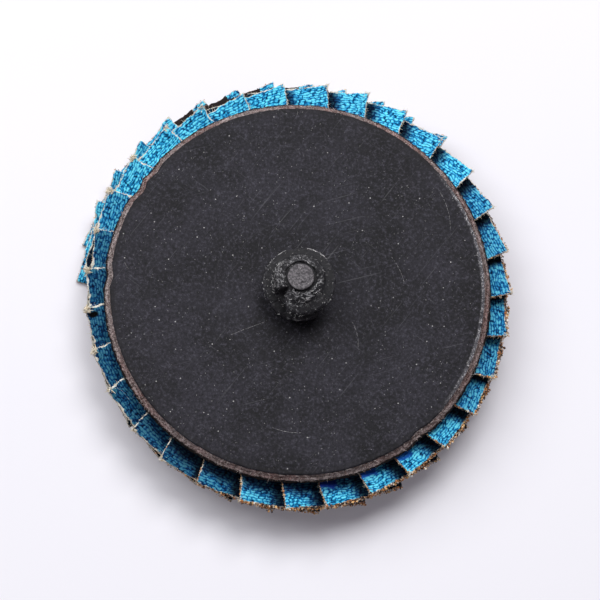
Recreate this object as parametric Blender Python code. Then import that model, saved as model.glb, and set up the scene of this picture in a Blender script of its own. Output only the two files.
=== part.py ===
"""Flap disc seen from its back: a round backing plate with a threaded stud in the middle, over two
rows of overlapping abrasive flaps. +Z runs up through the stud, and the flaps' working face is z = 0.
Angles are in degrees, clockwise from +Y when the disc is seen from above."""
import math

import bmesh
import bpy

MM = 0.001

# Fits
SEAT_GAP = 0.3 * MM             # between pieces that are bonded or seated on each other

# Backing plate and black face
PLATE_RADIUS = 23.0 * MM
PLATE_THICKNESS = 0.8 * MM
PLATE_SLANT = 0.65 * MM         # the cut edge leans out by this much towards the flaps
PLATE_BREAK = 0.45 * MM         # the part of that lean in its upper, flatter facet
PLATE_BREAK_DROP = 0.3 * MM     # height of that facet
PLATE_LIP = 0.12 * MM
FACE_SET_BACK = 0.8 * MM        # the brown edge that shows around the face
FACE_RADIUS = PLATE_RADIUS - FACE_SET_BACK
FACE_THICKNESS = 0.3 * MM
FACE_ROUND = 0.1 * MM
PLATE_SEGMENTS = 96

# Chips in the rim: angle, half width in degrees, depth
RIM_CHIPS = (
    (140.0, 4.5, 0.25 * MM),
    (274.0, 4.0, 0.3 * MM),
    (302.5, 4.5, 0.4 * MM),
    (310.0, 4.5, 0.25 * MM),
)
CHIP_BAND = 1.5 * MM            # chips reach no further in from the rim than this

# Resin bed
BED_BORE = 7.8 * MM
BED_CORE_RADIUS = 12.6 * MM
BED_FOOT_RADIUS = 18.5 * MM
BED_FOOT_DROP = 0.35 * MM       # the foot's top lies below that of the lower row
BED_LIFT = 0.5 * MM             # clear of the surface that the disc works on
BED_SEGMENTS = 72
BLADE_ROOT = 2.0 * MM           # length of a lower flap inside the bed's foot

# Flaps, both rows
FLAP_THICKNESS = 0.55 * MM      # cloth with its coat of grain, measured along Z
FLAP_WIDTH = 9.6 * MM
FLAP_CELLS_ACROSS = 4
FLAP_CELLS_ALONG = 3

# Lower row, held in the resin bed
LOWER_FLAPS = 36
FLAP_OVERHANG = 2.85 * MM       # how far the flaps' corners stand out from under the plate
LOWER_REACH = PLATE_RADIUS + FLAP_OVERHANG
LOWER_RISE = 2.6 * MM           # climb from a flap's low side to its raised clockwise side
LOWER_CURL = 0.3                # how much steeper than its mean slope the raised corner springs up
LOWER_PHASE = 3.6               # clockwise corner of the first flap
LOWER_OFFSET = 0.5 * MM         # the lower row reaches this much further out on one side
LOWER_OFFSET_ANGLE = 350.0

# Upper row, whose cloth shows around the plate
UPPER_FLAPS = 31
UPPER_SET_BACK = 0.25 * MM      # how far its corners stay inside those of the lower row
UPPER_REACH = LOWER_REACH - UPPER_SET_BACK
CORE_CLEARANCE = 0.6 * MM       # between the bed's core and the flaps' inner edge
UPPER_INNER = BED_CORE_RADIUS + CORE_CLEARANCE
UPPER_RISE = 3.1 * MM
UPPER_CURL = 0.5
UPPER_PHASE = 8.5
LAY_WANDER = 0.8                # the hand-laid flaps drift by this many degrees to each side
LAY_WANDER_PEAK = 195.0

# Threaded stud
STUD_HEIGHT = 7.0 * MM          # above the black face
STUD_NECK_RADIUS = 3.05 * MM
STUD_ROOT_RADIUS = 3.15 * MM
THREAD_RADIUS = 4.2 * MM
THREAD_LEAD = 3.2 * MM
THREAD_TURNS = 1.25
THREAD_START = 227.0            # angle of the thread's upper end
THREAD_LOW = 1.5 * MM           # the thread's lower end above the black face
THREAD_HALF_WIDTH = 0.85 * MM
THREAD_RUNOUT = 14.0            # degrees over which each end of the thread dies away
TIP_RING_RADIUS = 2.65 * MM
TIP_ROUND = 0.45 * MM
TIP_BOSS_RADIUS = 1.55 * MM
TIP_GROOVE_WIDTH = 0.3 * MM
TIP_GROOVE_DEPTH = 0.5 * MM
TIP_GROOVE_DRAFT = 0.25         # each groove wall leans by this share of the groove's width
TIP_RING_DROP = 0.15 * MM       # the ring outside the groove lies lower than the boss
ROOT_TAPER = 3.0                # the stud reaches its root radius in one part in three of its height
CREST_FLAT = 1.6                # a thread flank's steepness, which leaves its crest flat
FLANGE_THICKNESS = 1.2 * MM
STUD_SEGMENTS = 40
STUD_ROWS = 16

# Heights that follow from the sizes above
LOWER_TOP = FLAP_THICKNESS + LOWER_RISE
UPPER_FLOOR = LOWER_TOP + SEAT_GAP
UPPER_TOP = UPPER_FLOOR + FLAP_THICKNESS + UPPER_RISE
PLATE_BOTTOM = UPPER_TOP + SEAT_GAP
PLATE_TOP = PLATE_BOTTOM + PLATE_THICKNESS
FACE_BOTTOM = PLATE_TOP + SEAT_GAP
FACE_TOP = FACE_BOTTOM + FACE_THICKNESS
STUD_TOP = FACE_TOP + STUD_HEIGHT
FLANGE_TOP = PLATE_BOTTOM - SEAT_GAP
FLANGE_RADIUS = BED_BORE - SEAT_GAP
STUD_HOLE_RADIUS = STUD_NECK_RADIUS + SEAT_GAP

COLLECTION_NAME = "flap_disc"
WELD = 0.00001
SHARP_ANGLE = 30.0


def clear_scene():
    for obj in list(bpy.data.objects):
        bpy.data.objects.remove(obj, do_unlink=True)


def make_collection(name):
    collection = bpy.data.collections.new(name)
    bpy.context.scene.collection.children.link(collection)
    return collection


def make_material(name, colour, roughness, metallic=0.0):
    material = bpy.data.materials.new(name)
    material.use_nodes = True
    shader = material.node_tree.nodes["Principled BSDF"]
    shader.inputs["Base Color"].default_value = (*colour, 1.0)
    shader.inputs["Roughness"].default_value = roughness
    shader.inputs["Metallic"].default_value = metallic
    material.diffuse_color = (*colour, 1.0)
    return material


def add_object(name, mesh, collection, material):
    obj = bpy.data.objects.new(name, mesh)
    mesh.materials.append(material)
    collection.objects.link(obj)
    return obj


def finish_mesh(bm, name):
    """Welds the seams, turns the faces outwards and shades the smooth ones."""
    bmesh.ops.remove_doubles(bm, verts=bm.verts, dist=WELD)
    bmesh.ops.recalc_face_normals(bm, faces=bm.faces)
    mesh = bpy.data.meshes.new(name)
    bm.to_mesh(mesh)
    bm.free()
    mesh.shade_smooth()
    mesh.set_sharp_from_angle(angle=math.radians(SHARP_ANGLE))
    return mesh


def clockwise(radius, degrees, height):
    angle = math.radians(degrees)
    return radius * math.sin(angle), radius * math.cos(angle), height


def angle_of(vector):
    return math.degrees(math.atan2(vector.x, vector.y)) % 360.0


def angle_between(first, second):
    """The shorter way round from the second angle to the first, in degrees."""
    return (first - second + 180.0) % 360.0 - 180.0


def spun(profile, segments, closed):
    """Turns a list of (radius, height) points once around Z."""
    bm = bmesh.new()
    points = [bm.verts.new((radius, 0.0, height)) for radius, height in profile]
    edges = [bm.edges.new(pair) for pair in zip(points, points[1:])]
    if closed:
        edges.append(bm.edges.new((points[-1], points[0])))
    bmesh.ops.spin(bm, geom=points + edges, cent=(0.0, 0.0, 0.0), axis=(0.0, 0.0, 1.0),
                   angle=2.0 * math.pi, steps=segments, use_merge=True)
    return bm


def smooth_bump(share):
    """1 in the middle, falling smoothly to 0 at a share of 1 and beyond."""
    return 0.5 + 0.5 * math.cos(math.pi * min(1.0, abs(share)))


def chip_rim(bm, rim_radius):
    """Pushes the rim inwards where chips have broken out of it."""
    for vertex in bm.verts:
        radius = math.hypot(vertex.co.x, vertex.co.y)
        if radius < rim_radius - CHIP_BAND:
            continue
        bite = sum(depth * smooth_bump(angle_between(angle_of(vertex.co), angle) / half_width)
                   for angle, half_width, depth in RIM_CHIPS)
        vertex.co.xy *= (radius - bite) / radius


def backing_plate(collection, material):
    rim = PLATE_RADIUS - PLATE_SLANT
    profile = (
        (STUD_HOLE_RADIUS, PLATE_TOP),
        (rim, PLATE_TOP),
        (rim + PLATE_BREAK, PLATE_TOP - PLATE_BREAK_DROP),
        (PLATE_RADIUS, PLATE_BOTTOM + PLATE_LIP),
        (PLATE_RADIUS - PLATE_LIP, PLATE_BOTTOM),
        (STUD_HOLE_RADIUS, PLATE_BOTTOM),
    )
    bm = spun(profile, PLATE_SEGMENTS, closed=True)
    chip_rim(bm, PLATE_RADIUS)
    add_object("backing_plate", finish_mesh(bm, "backing_plate"), collection, material)


def black_face(collection, material):
    profile = (
        (STUD_HOLE_RADIUS, FACE_TOP),
        (FACE_RADIUS - FACE_ROUND, FACE_TOP),
        (FACE_RADIUS, FACE_TOP - FACE_ROUND),
        (FACE_RADIUS, FACE_BOTTOM),
        (STUD_HOLE_RADIUS, FACE_BOTTOM),
    )
    bm = spun(profile, PLATE_SEGMENTS, closed=True)
    chip_rim(bm, FACE_RADIUS)
    add_object("face_sheet", finish_mesh(bm, "face_sheet"), collection, material)


def stud_profile():
    """From the middle of the tip down the outside and back to the axis under the flange."""
    shoulder = STUD_TOP - TIP_ROUND
    foot = FACE_TOP
    draft = TIP_GROOVE_DRAFT * TIP_GROOVE_WIDTH
    groove_outer = TIP_BOSS_RADIUS + TIP_GROOVE_WIDTH
    profile = [
        (0.0, STUD_TOP),
        (TIP_BOSS_RADIUS, STUD_TOP),
        (TIP_BOSS_RADIUS + draft, STUD_TOP - TIP_GROOVE_DEPTH),
        (groove_outer, STUD_TOP - TIP_GROOVE_DEPTH),
        (groove_outer + draft, STUD_TOP - TIP_RING_DROP),
        (TIP_RING_RADIUS, shoulder),
    ]
    for row in range(1, STUD_ROWS + 1):
        share = row / STUD_ROWS
        widen = min(1.0, ROOT_TAPER * share)
        radius = TIP_RING_RADIUS + (STUD_ROOT_RADIUS - TIP_RING_RADIUS) * widen
        profile.append((radius, shoulder + (foot - shoulder) * share))
    profile += [
        (STUD_NECK_RADIUS, foot - FACE_THICKNESS),
        (STUD_NECK_RADIUS, FLANGE_TOP),
        (FLANGE_RADIUS, FLANGE_TOP),
        (FLANGE_RADIUS, FLANGE_TOP - FLANGE_THICKNESS),
        (0.0, FLANGE_TOP - FLANGE_THICKNESS),
    ]
    return profile


def thread_swell(degrees, height):
    """How far the thread stands out of the stud's root at an angle and height, from 0 to 1."""
    swell = 0.0
    first_turn = (THREAD_START - degrees) % 360.0
    low_end = FACE_TOP + THREAD_LOW
    length = 360.0 * THREAD_TURNS
    for extra in (0.0, 360.0):
        travel = first_turn + extra
        if travel > length:
            continue
        crest = low_end + THREAD_LEAD * (THREAD_TURNS - travel / 360.0)
        ends = min(1.0, travel / THREAD_RUNOUT, (length - travel) / THREAD_RUNOUT)
        across = abs(height - crest) / THREAD_HALF_WIDTH
        swell = max(swell, ends * max(0.0, min(1.0, CREST_FLAT * (1.0 - across))))
    return swell


def cut_thread(bm):
    depth = THREAD_RADIUS - STUD_ROOT_RADIUS
    below_ring = STUD_TOP - 0.5 * (TIP_RING_DROP + TIP_ROUND)
    for vertex in bm.verts:
        radius = math.hypot(vertex.co.x, vertex.co.y)
        on_side = FACE_TOP < vertex.co.z < below_ring
        if on_side and radius > TIP_BOSS_RADIUS + TIP_GROOVE_WIDTH:
            swell = thread_swell(angle_of(vertex.co), vertex.co.z)
            vertex.co.xy *= (radius + depth * swell) / radius


def threaded_stud(collection, material):
    bm = spun(stud_profile(), STUD_SEGMENTS, closed=False)
    bmesh.ops.remove_doubles(bm, verts=bm.verts, dist=WELD)
    cut_thread(bm)
    add_object("threaded_stud", finish_mesh(bm, "threaded_stud"), collection, material)


def flap_height(radius, turn, top, rise, curl):
    """Height of a flap's cloth side; turn is the angle from its middle line, clockwise, in radians."""
    half_angle = math.asin(0.5 * FLAP_WIDTH / radius)
    share = (half_angle - turn) / (2.0 * half_angle)
    return top - rise * (share + curl * share * (1.0 - share))


def flap_sheet(bm, corner_angle, inner, reach, top, rise, curl):
    """Adds one flap: a rectangle that climbs clockwise, with its grain side straight below."""
    half = 0.5 * FLAP_WIDTH
    outer = math.sqrt(reach * reach - half * half)
    middle = corner_angle - math.degrees(math.asin(half / reach))
    grid = bmesh.ops.create_grid(bm, x_segments=FLAP_CELLS_ACROSS, y_segments=FLAP_CELLS_ALONG, size=1.0)
    for vertex in grid["verts"]:
        across = half * vertex.co.x
        along = inner + (outer - inner) * 0.5 * (vertex.co.y + 1.0)
        radius = math.hypot(across, along)
        turn = math.atan2(across, along)
        spring = curl * (radius - inner) / (reach - inner)
        height = flap_height(radius, turn, top, rise, spring)
        vertex.co = clockwise(radius, middle + math.degrees(turn), height)
    faces = list({face for vertex in grid["verts"] for face in vertex.link_faces})
    bmesh.ops.recalc_face_normals(bm, faces=faces)
    low_side = bmesh.ops.extrude_face_region(bm, geom=faces, use_keep_orig=True)
    low_points = [item for item in low_side["geom"] if isinstance(item, bmesh.types.BMVert)]
    bmesh.ops.translate(bm, verts=low_points, vec=(0.0, 0.0, -FLAP_THICKNESS))


def upper_corner_angle(index):
    """The flaps were laid by hand, so their even spacing drifts a little around the disc."""
    even = UPPER_PHASE + index * 360.0 / UPPER_FLAPS
    return even + LAY_WANDER * math.cos(math.radians(even - LAY_WANDER_PEAK))


def upper_row(collection, material):
    for index in range(UPPER_FLAPS):
        name = f"flap_{index + 1:02d}"
        corner = upper_corner_angle(index)
        bm = bmesh.new()
        flap_sheet(bm, corner, UPPER_INNER, UPPER_REACH, UPPER_TOP, UPPER_RISE, UPPER_CURL)
        add_object(name, finish_mesh(bm, name), collection, material)


def lower_reach(corner_angle):
    return LOWER_REACH + LOWER_OFFSET * math.cos(math.radians(corner_angle - LOWER_OFFSET_ANGLE))


def resin_bed(collection, material):
    """The core stands up to the plate, and the foot grips the lower row's inner ends."""
    foot_top = LOWER_TOP - BED_FOOT_DROP
    profile = (
        (BED_BORE, PLATE_BOTTOM - SEAT_GAP),
        (BED_CORE_RADIUS, PLATE_BOTTOM - SEAT_GAP),
        (BED_CORE_RADIUS, foot_top),
        (BED_FOOT_RADIUS, foot_top),
        (BED_FOOT_RADIUS, BED_LIFT),
        (BED_BORE, BED_LIFT),
    )
    bm = spun(profile, BED_SEGMENTS, closed=True)
    return add_object("lower_flap_row", finish_mesh(bm, "lower_flap_row"), collection, material)


def lower_row(collection, cutters, resin, cloth):
    bed = resin_bed(collection, resin)
    bm = bmesh.new()
    for index in range(LOWER_FLAPS):
        corner = LOWER_PHASE + index * 360.0 / LOWER_FLAPS
        inner = BED_FOOT_RADIUS - BLADE_ROOT
        flap_sheet(bm, corner, inner, lower_reach(corner), LOWER_TOP, LOWER_RISE, LOWER_CURL)
    blades = add_object("lower_flap_blades", finish_mesh(bm, "lower_flap_blades"), cutters, cloth)
    blades.hide_render = True
    blades.display_type = "WIRE"
    join = bed.modifiers.new("grip_flaps", "BOOLEAN")
    join.operation = "UNION"
    join.object = blades


def build():
    clear_scene()
    collection = make_collection(COLLECTION_NAME)
    cutters = make_collection(COLLECTION_NAME + "_cutters")
    black = make_material("black_coating", (0.035, 0.034, 0.038), 0.62)
    nylon = make_material("black_nylon", (0.04, 0.039, 0.043), 0.55)
    fibre = make_material("brown_fibre", (0.22, 0.13, 0.095), 0.85)
    cloth = make_material("blue_abrasive_cloth", (0.012, 0.16, 0.34), 0.8)
    resin = make_material("resin", (0.055, 0.03, 0.02), 0.45)
    black_face(collection, black)
    backing_plate(collection, fibre)
    threaded_stud(collection, nylon)
    upper_row(collection, cloth)
    lower_row(collection, cutters, resin, cloth)


build()
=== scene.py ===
"""A worn flap disc lying on its working face, dressed for a close look from its back.
Metres, +Z up through the stud. Angles are in degrees, clockwise from +Y when seen from above.
The weave and rim values of a point are kept in millimetres, as its materials read them."""
import math

import bpy
import numpy as np
from mathutils import Matrix, Vector

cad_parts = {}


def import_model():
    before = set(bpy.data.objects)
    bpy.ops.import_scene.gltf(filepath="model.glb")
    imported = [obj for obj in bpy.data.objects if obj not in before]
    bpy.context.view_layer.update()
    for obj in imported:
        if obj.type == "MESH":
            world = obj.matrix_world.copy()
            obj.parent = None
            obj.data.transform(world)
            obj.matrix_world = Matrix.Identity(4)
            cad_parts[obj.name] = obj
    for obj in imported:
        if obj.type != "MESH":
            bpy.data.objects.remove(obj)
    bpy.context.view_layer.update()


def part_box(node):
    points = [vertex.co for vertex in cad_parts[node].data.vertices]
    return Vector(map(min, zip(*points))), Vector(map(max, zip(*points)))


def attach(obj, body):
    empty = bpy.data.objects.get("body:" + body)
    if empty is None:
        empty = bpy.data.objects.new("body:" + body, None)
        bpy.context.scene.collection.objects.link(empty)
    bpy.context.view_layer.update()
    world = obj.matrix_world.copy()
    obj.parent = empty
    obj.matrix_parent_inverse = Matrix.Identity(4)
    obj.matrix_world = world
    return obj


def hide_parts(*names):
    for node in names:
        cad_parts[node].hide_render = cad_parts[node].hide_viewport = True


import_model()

MM = 0.001

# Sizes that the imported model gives
FACE_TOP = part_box("face_sheet")[1].z
FACE_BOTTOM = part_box("face_sheet")[0].z
PLATE_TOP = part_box("backing_plate")[1].z
PLATE_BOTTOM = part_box("backing_plate")[0].z
STUD_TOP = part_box("threaded_stud")[1].z
FLANGE_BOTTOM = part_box("threaded_stud")[0].z
FLANGE_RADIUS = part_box("threaded_stud")[1].x
UPPER_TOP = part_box("flap_01")[1].z

# Flaps, as the solids have them
FLAP_THICKNESS = 0.55 * MM
FLAP_WIDTH = 9.6 * MM
UPPER_FLAPS = 31
UPPER_INNER = 13.2 * MM
UPPER_RISE = 3.1 * MM
UPPER_CURL = 0.5
UPPER_PHASE = 8.5
LAY_WANDER = 0.8
LAY_WANDER_PEAK = 195.0
LOWER_FLAPS = 36
LOWER_INNER = 16.5 * MM
LOWER_RISE = 2.6 * MM
LOWER_TOP = FLAP_THICKNESS + LOWER_RISE
LOWER_CURL = 0.3
LOWER_PHASE = 3.6

# How far the flaps reach, which wear and handling have made uneven
UPPER_REACH = 25.45 * MM
UPPER_OVAL = (0.35 * MM, 10.0)   # further out at this angle and opposite to it
UPPER_SHIFT = (0.10 * MM, 190.0)
UPPER_BULGES = (                 # height, middle and half width of the fuller stretches
    (0.62 * MM, 60.0, 90.0),
    (0.50 * MM, 306.0, 34.0),
    (-0.30 * MM, 345.0, 12.0),
)
LOWER_SHOWN = 26.9 * MM          # where the lower row shows beyond the upper
LOWER_HIDDEN = 24.3 * MM
LOWER_SHOWN_MIDDLE = 352.0
LOWER_SHOWN_HALF = 55.0
LOWER_FADE = 7.0
LOWER_WEDGE = 0.3 * MM           # a lower flap's raised corner has been pushed out by this much
LOWER_LONG = (                   # corners that reach further than their neighbours
    (303.0, 0.15 * MM),
    (313.0, 0.20 * MM),
    (322.5, 0.42 * MM),
    (42.5, 0.45 * MM),
)
LOWER_DRIFT = (2.2, 285.0)       # the lower row was laid askew by so many degrees

# How unevenly they were laid: the most that each differs from its place, and the springing of its corner
UPPER_ASKEW = 0.6
UPPER_UNEVEN = 0.12 * MM
UPPER_SPRUNG = (0.0, 0.3 * MM)
LOWER_ASKEW = 0.5
LOWER_UNEVEN = (-0.08 * MM, 0.12 * MM)
LOWER_SPRUNG = (0.3 * MM, 0.9 * MM)

# Where they show from under what covers them: finer meshes and frayed edges start here
SHOWN_ACROSS = -1.4 * MM
UPPER_FINE_FROM = 21.4 * MM
UPPER_SHOWN_FROM = 22.0 * MM
LOWER_SHOWN_FROM = 23.0 * MM

# Resin bed, plate, face and stud, as the solids have them
BED_BORE = 7.8 * MM
BED_CORE_RADIUS = 12.6 * MM
BED_FOOT_RADIUS = 18.5 * MM
BED_LIFT = 0.5 * MM
BED_FOOT_TOP = 2.8 * MM
BED_TOP = 7.1 * MM
PLATE_RADIUS = 23.0 * MM
PLATE_SLANT = 0.65 * MM
PLATE_BREAK = 0.45 * MM
PLATE_BREAK_DROP = 0.3 * MM
PLATE_LIP = 0.12 * MM
FACE_RADIUS = 22.2 * MM
FACE_ROUND = 0.14 * MM
RIM_CHIPS = (                   # bites out of the rim: angle, half width and depth
    (140.0, 4.5, 0.25 * MM),
    (274.0, 4.0, 0.3 * MM),
    (302.5, 4.5, 0.4 * MM),
    (310.0, 4.5, 0.25 * MM),
)
LIFTED_MIDDLE = 90.0            # here the face has come away from the plate and shows a gap
LIFTED_HALF = 36.0
STUD_NECK_RADIUS = 3.05 * MM
STUD_HOLE_RADIUS = 3.35 * MM
STUD_ROOT_RADIUS = 3.15 * MM
THREAD_RADIUS = 4.2 * MM
THREAD_LEAD = 3.2 * MM
THREAD_TURNS = 1.25
THREAD_START = 227.0
THREAD_LOW = 1.5 * MM
THREAD_HALF_WIDTH = 0.85 * MM
THREAD_RUNOUT = 14.0
TIP_RING_RADIUS = 2.65 * MM
TIP_ROUND = 0.45 * MM
TIP_BOSS_RADIUS = 1.55 * MM
TIP_GROOVE_WIDTH = 0.3 * MM
TIP_GROOVE_DEPTH = 0.5 * MM
FLANGE_TOP = 7.1 * MM
NOTCH_ANGLE = 224.0             # a bite out of the tip's ring above the thread's start
NOTCH_HALF = 24.0
NOTCH_DEPTH = 0.95 * MM
NOTCH_DROP = 3.6 * MM

# Cloth: warp yarns run across a flap and float over the weft
ROW = 0.31 * MM                 # pitch of the warp yarns
FLOAT = 0.62 * MM               # length of one float and its dip
FLOAT_STEPS = 4
WEAVE_RELIEF = 0.03 * MM
GRAIN_RELIEF = 0.07 * MM
CUT_DROOP = 0.10 * MM           # the cloth sinks so far at its cut edge
ON_EDGE = 0.01 * MM             # a point this near to an edge lies on it
CLOTH_SHARE = 0.5               # the part of a flap's thickness that is cloth
LOT = 7.3                       # spacing of the noise that each flap's cloth takes

# Camera, fitted to the rim's ellipses
TILT = 12.4
LEAN = (-0.22, -0.975)
DISTANCE = 350.0 * MM
AIM_RIGHT = 0.237 * MM
AIM_UP = -1.278 * MM
FOCAL_PIXELS = 2957.0
IMAGE_PIXELS = 600.0
SENSOR = 36.0

# Where the worn disc differs round its edge. Each stretch has its middle and half width, and some of
# them a second, smaller half width within which it is in full
GLUE = (162.0, 24.0, 12.0)      # blue adhesive shows on the cloth
GLUE_RADIUS = 23.75 * MM
GRIT = (145.0, 95.0, 45.0)      # grains stand out of the cut edges
SOAK_MIDDLE = 347.5             # dark resin has soaked the lower row
SOAK_HALF = 18.5
SOAK_TIP = 1.6 * MM             # but not the tip of a flap, so far from its raised edge
SOAK_END = 0.62 * MM            # and from its outer edge
PAINTED_SHADOW_TUCKS = (                       # painted shadow: black painted under the lifted edges where they shade the next flap, and its reach over that flap
    (35.0, 62.0, 1.45 * MM),
    (162.0, 62.0, 1.75 * MM),
)
PAINTED_SHADOW_DARK = 0.93                # share of light that it takes
PAINTED_SHADE_STRETCHES = (                      # painted shade: cloth darker on these stretches, and the share of light lost
    (249.0, 62.0, 0.70),
    (98.0, 48.0, 0.42),
)
FRAYED = (275.0, 75.0, 25.0)    # white yarn ends stand thickest here
PAINTED_RIM_SHADOW = (198.0, 46.0, 1.1 * MM)     # painted shadow of the plate's rim: black along it, and its reach
PAINTED_RIM_SHADOW_DARK = 0.85
TORN_ANGLE = 263.0              # a flap whose corner is torn open; the hole is painted dark as shade, not cut
TORN_SPOT = (0.85 * MM, 0.75 * MM)      # the hole's distances from the raised edge and the outer edge
TORN_STRETCH = (0.35, 0.6)
TORN_RADIUS = 1.2 * MM
SCUFFED = (                     # the stud's scuffed sides
    (275.0, 55.0),
    (185.0, 40.0),
    (128.0, 22.0),
)
HIGHLIGHT_CRESTS = (               # first and last angle where a white line on the thread's crest is a painted highlight
    (302.0, 334.0),
    (12.0, 50.0),
)
CLUMPS = (                      # grains hanging from the fringe: angle, distance out, size and number
    (122.3, 0.32 * MM, 0.16 * MM, 3),
    (127.5, 0.15 * MM, 0.14 * MM, 4),
    (144.0, 0.65 * MM, 0.17 * MM, 7),
    (155.5, 0.45 * MM, 0.17 * MM, 6),
    (162.5, 0.20 * MM, 0.15 * MM, 5),
    (173.5, 0.30 * MM, 0.15 * MM, 6),
    (187.3, 0.75 * MM, 0.16 * MM, 12),
    (192.0, 0.15 * MM, 0.14 * MM, 5),
    (221.0, 0.20 * MM, 0.12 * MM, 4),
)

# Steps round the turned pieces
FACE_STEPS = 600
PLATE_STEPS = 900

# Loose things, by number
FRAYED_ENDS = 75                # on an upper flap
LOWER_FRAYED_ENDS = 30
UPPER_GRAINS = (50, 430)        # on a clean flap, and added on a gritty one
LOWER_GRAINS = 60
RIM_FIBRES = 2300
STUD_SCUFFS = 420
DUST_SPECKS = 300

# Where they stand, by share on the raised edge, and their lengths and radii
FRAY_ON_SIDE = 0.45
GRAINS_ON_SIDE = 0.16
LOWER_GRAIN_SIZE = 0.16 * MM
LOWER_GRAIN_OUT = 0.1 * MM
UPPER_FRAY = 0.5 * MM
LOWER_FRAY = 0.4 * MM
TUFT_LENGTH = 0.45 * MM
YARN_ROOT = 0.05 * MM
YARN_RADII = (0.016 * MM, 0.04 * MM)
FUZZ_LENGTHS = (0.12 * MM, 0.55 * MM)
FUZZ_RADII = (0.012 * MM, 0.03 * MM)
SCUFF_LENGTHS = (0.08 * MM, 0.42 * MM)
SCUFF_RADII = (0.014 * MM, 0.055 * MM)
CREST_RADII = (0.035 * MM, 0.075 * MM)
CREST_STEP = 2.4
CREST_SPAN = 4.0
BURR_LENGTHS = (0.25 * MM, 0.6 * MM)
BURR_RADII = (0.015 * MM, 0.035 * MM)
BURR_SPACING = 0.45 * MM

# Scratches on the face: start and end in millimetres from the stud's middle, and their bow
SCRATCHES = (
    ((-14.9, 12.9), (-13.7, 14.4), 0.0),
    ((16.9, 12.2), (18.2, 7.4), 0.35),
    ((6.3, -3.7), (7.1, -6.8), 0.25),
    ((-8.0, -5.6), (-4.0, -4.0), 0.0),
    ((-21.3, -12.0), (-19.9, -13.4), 0.2),
    ((-20.6, 3.2), (-20.1, 2.2), 0.0),
    ((11.0, 4.2), (12.6, 1.0), 0.2),
    ((-3.0, -16.6), (0.4, -17.2), -0.2),
)

# Unevenness: the height and the size of each layer of lumps
CUT_RAGGED = ((0.07 * MM, 0.3 * MM), (0.09 * MM, 0.9 * MM))
BAND_RAGGED = ((0.07 * MM, 0.25 * MM), (0.05 * MM, 0.13 * MM))
CLOTH_WAVES = ((0.05 * MM, 1.6 * MM),)
WARP_SLIP = ((0.20 * MM, 0.9 * MM), (0.08 * MM, 0.4 * MM))
WEFT_SLIP = ((0.20 * MM, 1.0 * MM), (0.08 * MM, 0.45 * MM))
SOAK_UNEVEN = ((0.10 * MM, 0.5 * MM),)
FACE_RIM_WORN = ((0.05 * MM, 0.5 * MM), (0.04 * MM, 0.2 * MM))
FACE_DENTS = ((0.012 * MM, 2.5 * MM), (0.006 * MM, 0.7 * MM))
BOARD_MATTED = ((0.06 * MM, 0.35 * MM), (0.05 * MM, 0.14 * MM))
BOARD_SHELVES = ((0.05 * MM, 0.9 * MM),)
BOARD_ROUGH = ((0.05 * MM, 0.3 * MM),)
BED_LUMPS = ((0.12 * MM, 1.6 * MM), (0.06 * MM, 0.6 * MM))

# The face's gap where it has lifted
GAP_RADIUS = FACE_RADIUS + 0.12 * MM
GAP_HALF = 0.09 * MM
GAP_DEPTH = 0.5 * MM
LIP_RADIUS = GAP_RADIUS + 0.45 * MM
LIP_HALF = 0.25 * MM
LIP_HEIGHT = 0.22 * MM
LIFTED_FADE = 8.0

# Studio: azimuth, elevation, size and power of each lamp, and what the world and the floor add
LAMPS = (
    ("key_right", 22.0, 60.0, 0.32, 2.4, (1.0, 1.0, 0.99)),
    ("key_left", -48.0, 54.0, 0.52, 2.4, (0.99, 1.0, 1.0)),
)
LAMP_DISTANCE = 0.6
WORLD_COLOUR = (0.95, 0.91, 1.0, 1.0)
WORLD_STRENGTH = 0.14
BACKDROP = (0.98, 0.98, 0.98, 1.0)
FLOOR_COLOURS = ((0.755, 0.745, 0.795), (0.775, 0.765, 0.810))
FLOOR_GLOW = (0.92, 0.88, 1.0, 1.0)
FLOOR_GLOW_STRENGTH = 0.10
FLOOR_HALF = 2.0
FLOOR_LEVEL = -0.05 * MM

SEED = 41
NOISE_TABLE = np.random.default_rng(SEED).random(8192)


# Small maths


def soft_noise(points, size, seed):
    """Smooth noise from -1 to 1 at an array of points, with lumps about as large as size."""
    scaled = np.asarray(points, float) / size + 13.7 * seed
    cell = np.floor(scaled).astype(np.int64)
    share = scaled - cell
    share = share * share * (3.0 - 2.0 * share)
    total = np.zeros(len(scaled))
    for corner in np.ndindex(2, 2, 2):
        at = cell + np.array(corner)
        key = (at[:, 0] * 73856093) ^ (at[:, 1] * 19349663) ^ (at[:, 2] * 83492791)
        weight = np.prod(np.where(np.array(corner) == 1, share, 1.0 - share), axis=1)
        total += weight * NOISE_TABLE[key % len(NOISE_TABLE)]
    return 2.0 * total - 1.0


def rough(points, seed, layers, step=1):
    """Sum of layers of soft noise, each with its own seed."""
    return sum(height * soft_noise(points, size, seed + step * number)
               for number, (height, size) in enumerate(layers))


def smooth(low, high, value):
    """0 below low, 1 above high, and an even S curve between."""
    share = np.clip((value - low) / (high - low), 0.0, 1.0)
    return share * share * (3.0 - 2.0 * share)


def angle_gap(first, second):
    return (first - second + 180.0) % 360.0 - 180.0


def lifted_share(degrees):
    """How far the face's edge has come away, from 0 to 1."""
    away = np.abs(angle_gap(degrees, LIFTED_MIDDLE))
    return smooth(LIFTED_HALF + LIFTED_FADE, LIFTED_HALF - LIFTED_FADE, away)


def around(radius, degrees, height):
    """Points from radius, clockwise angle and height."""
    angle = np.radians(degrees)
    shape = np.broadcast(radius, angle, height).shape
    return np.stack([np.broadcast_to(radius * np.sin(angle), shape),
                     np.broadcast_to(radius * np.cos(angle), shape),
                     np.broadcast_to(height, shape)], axis=-1)


# Meshes


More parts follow.
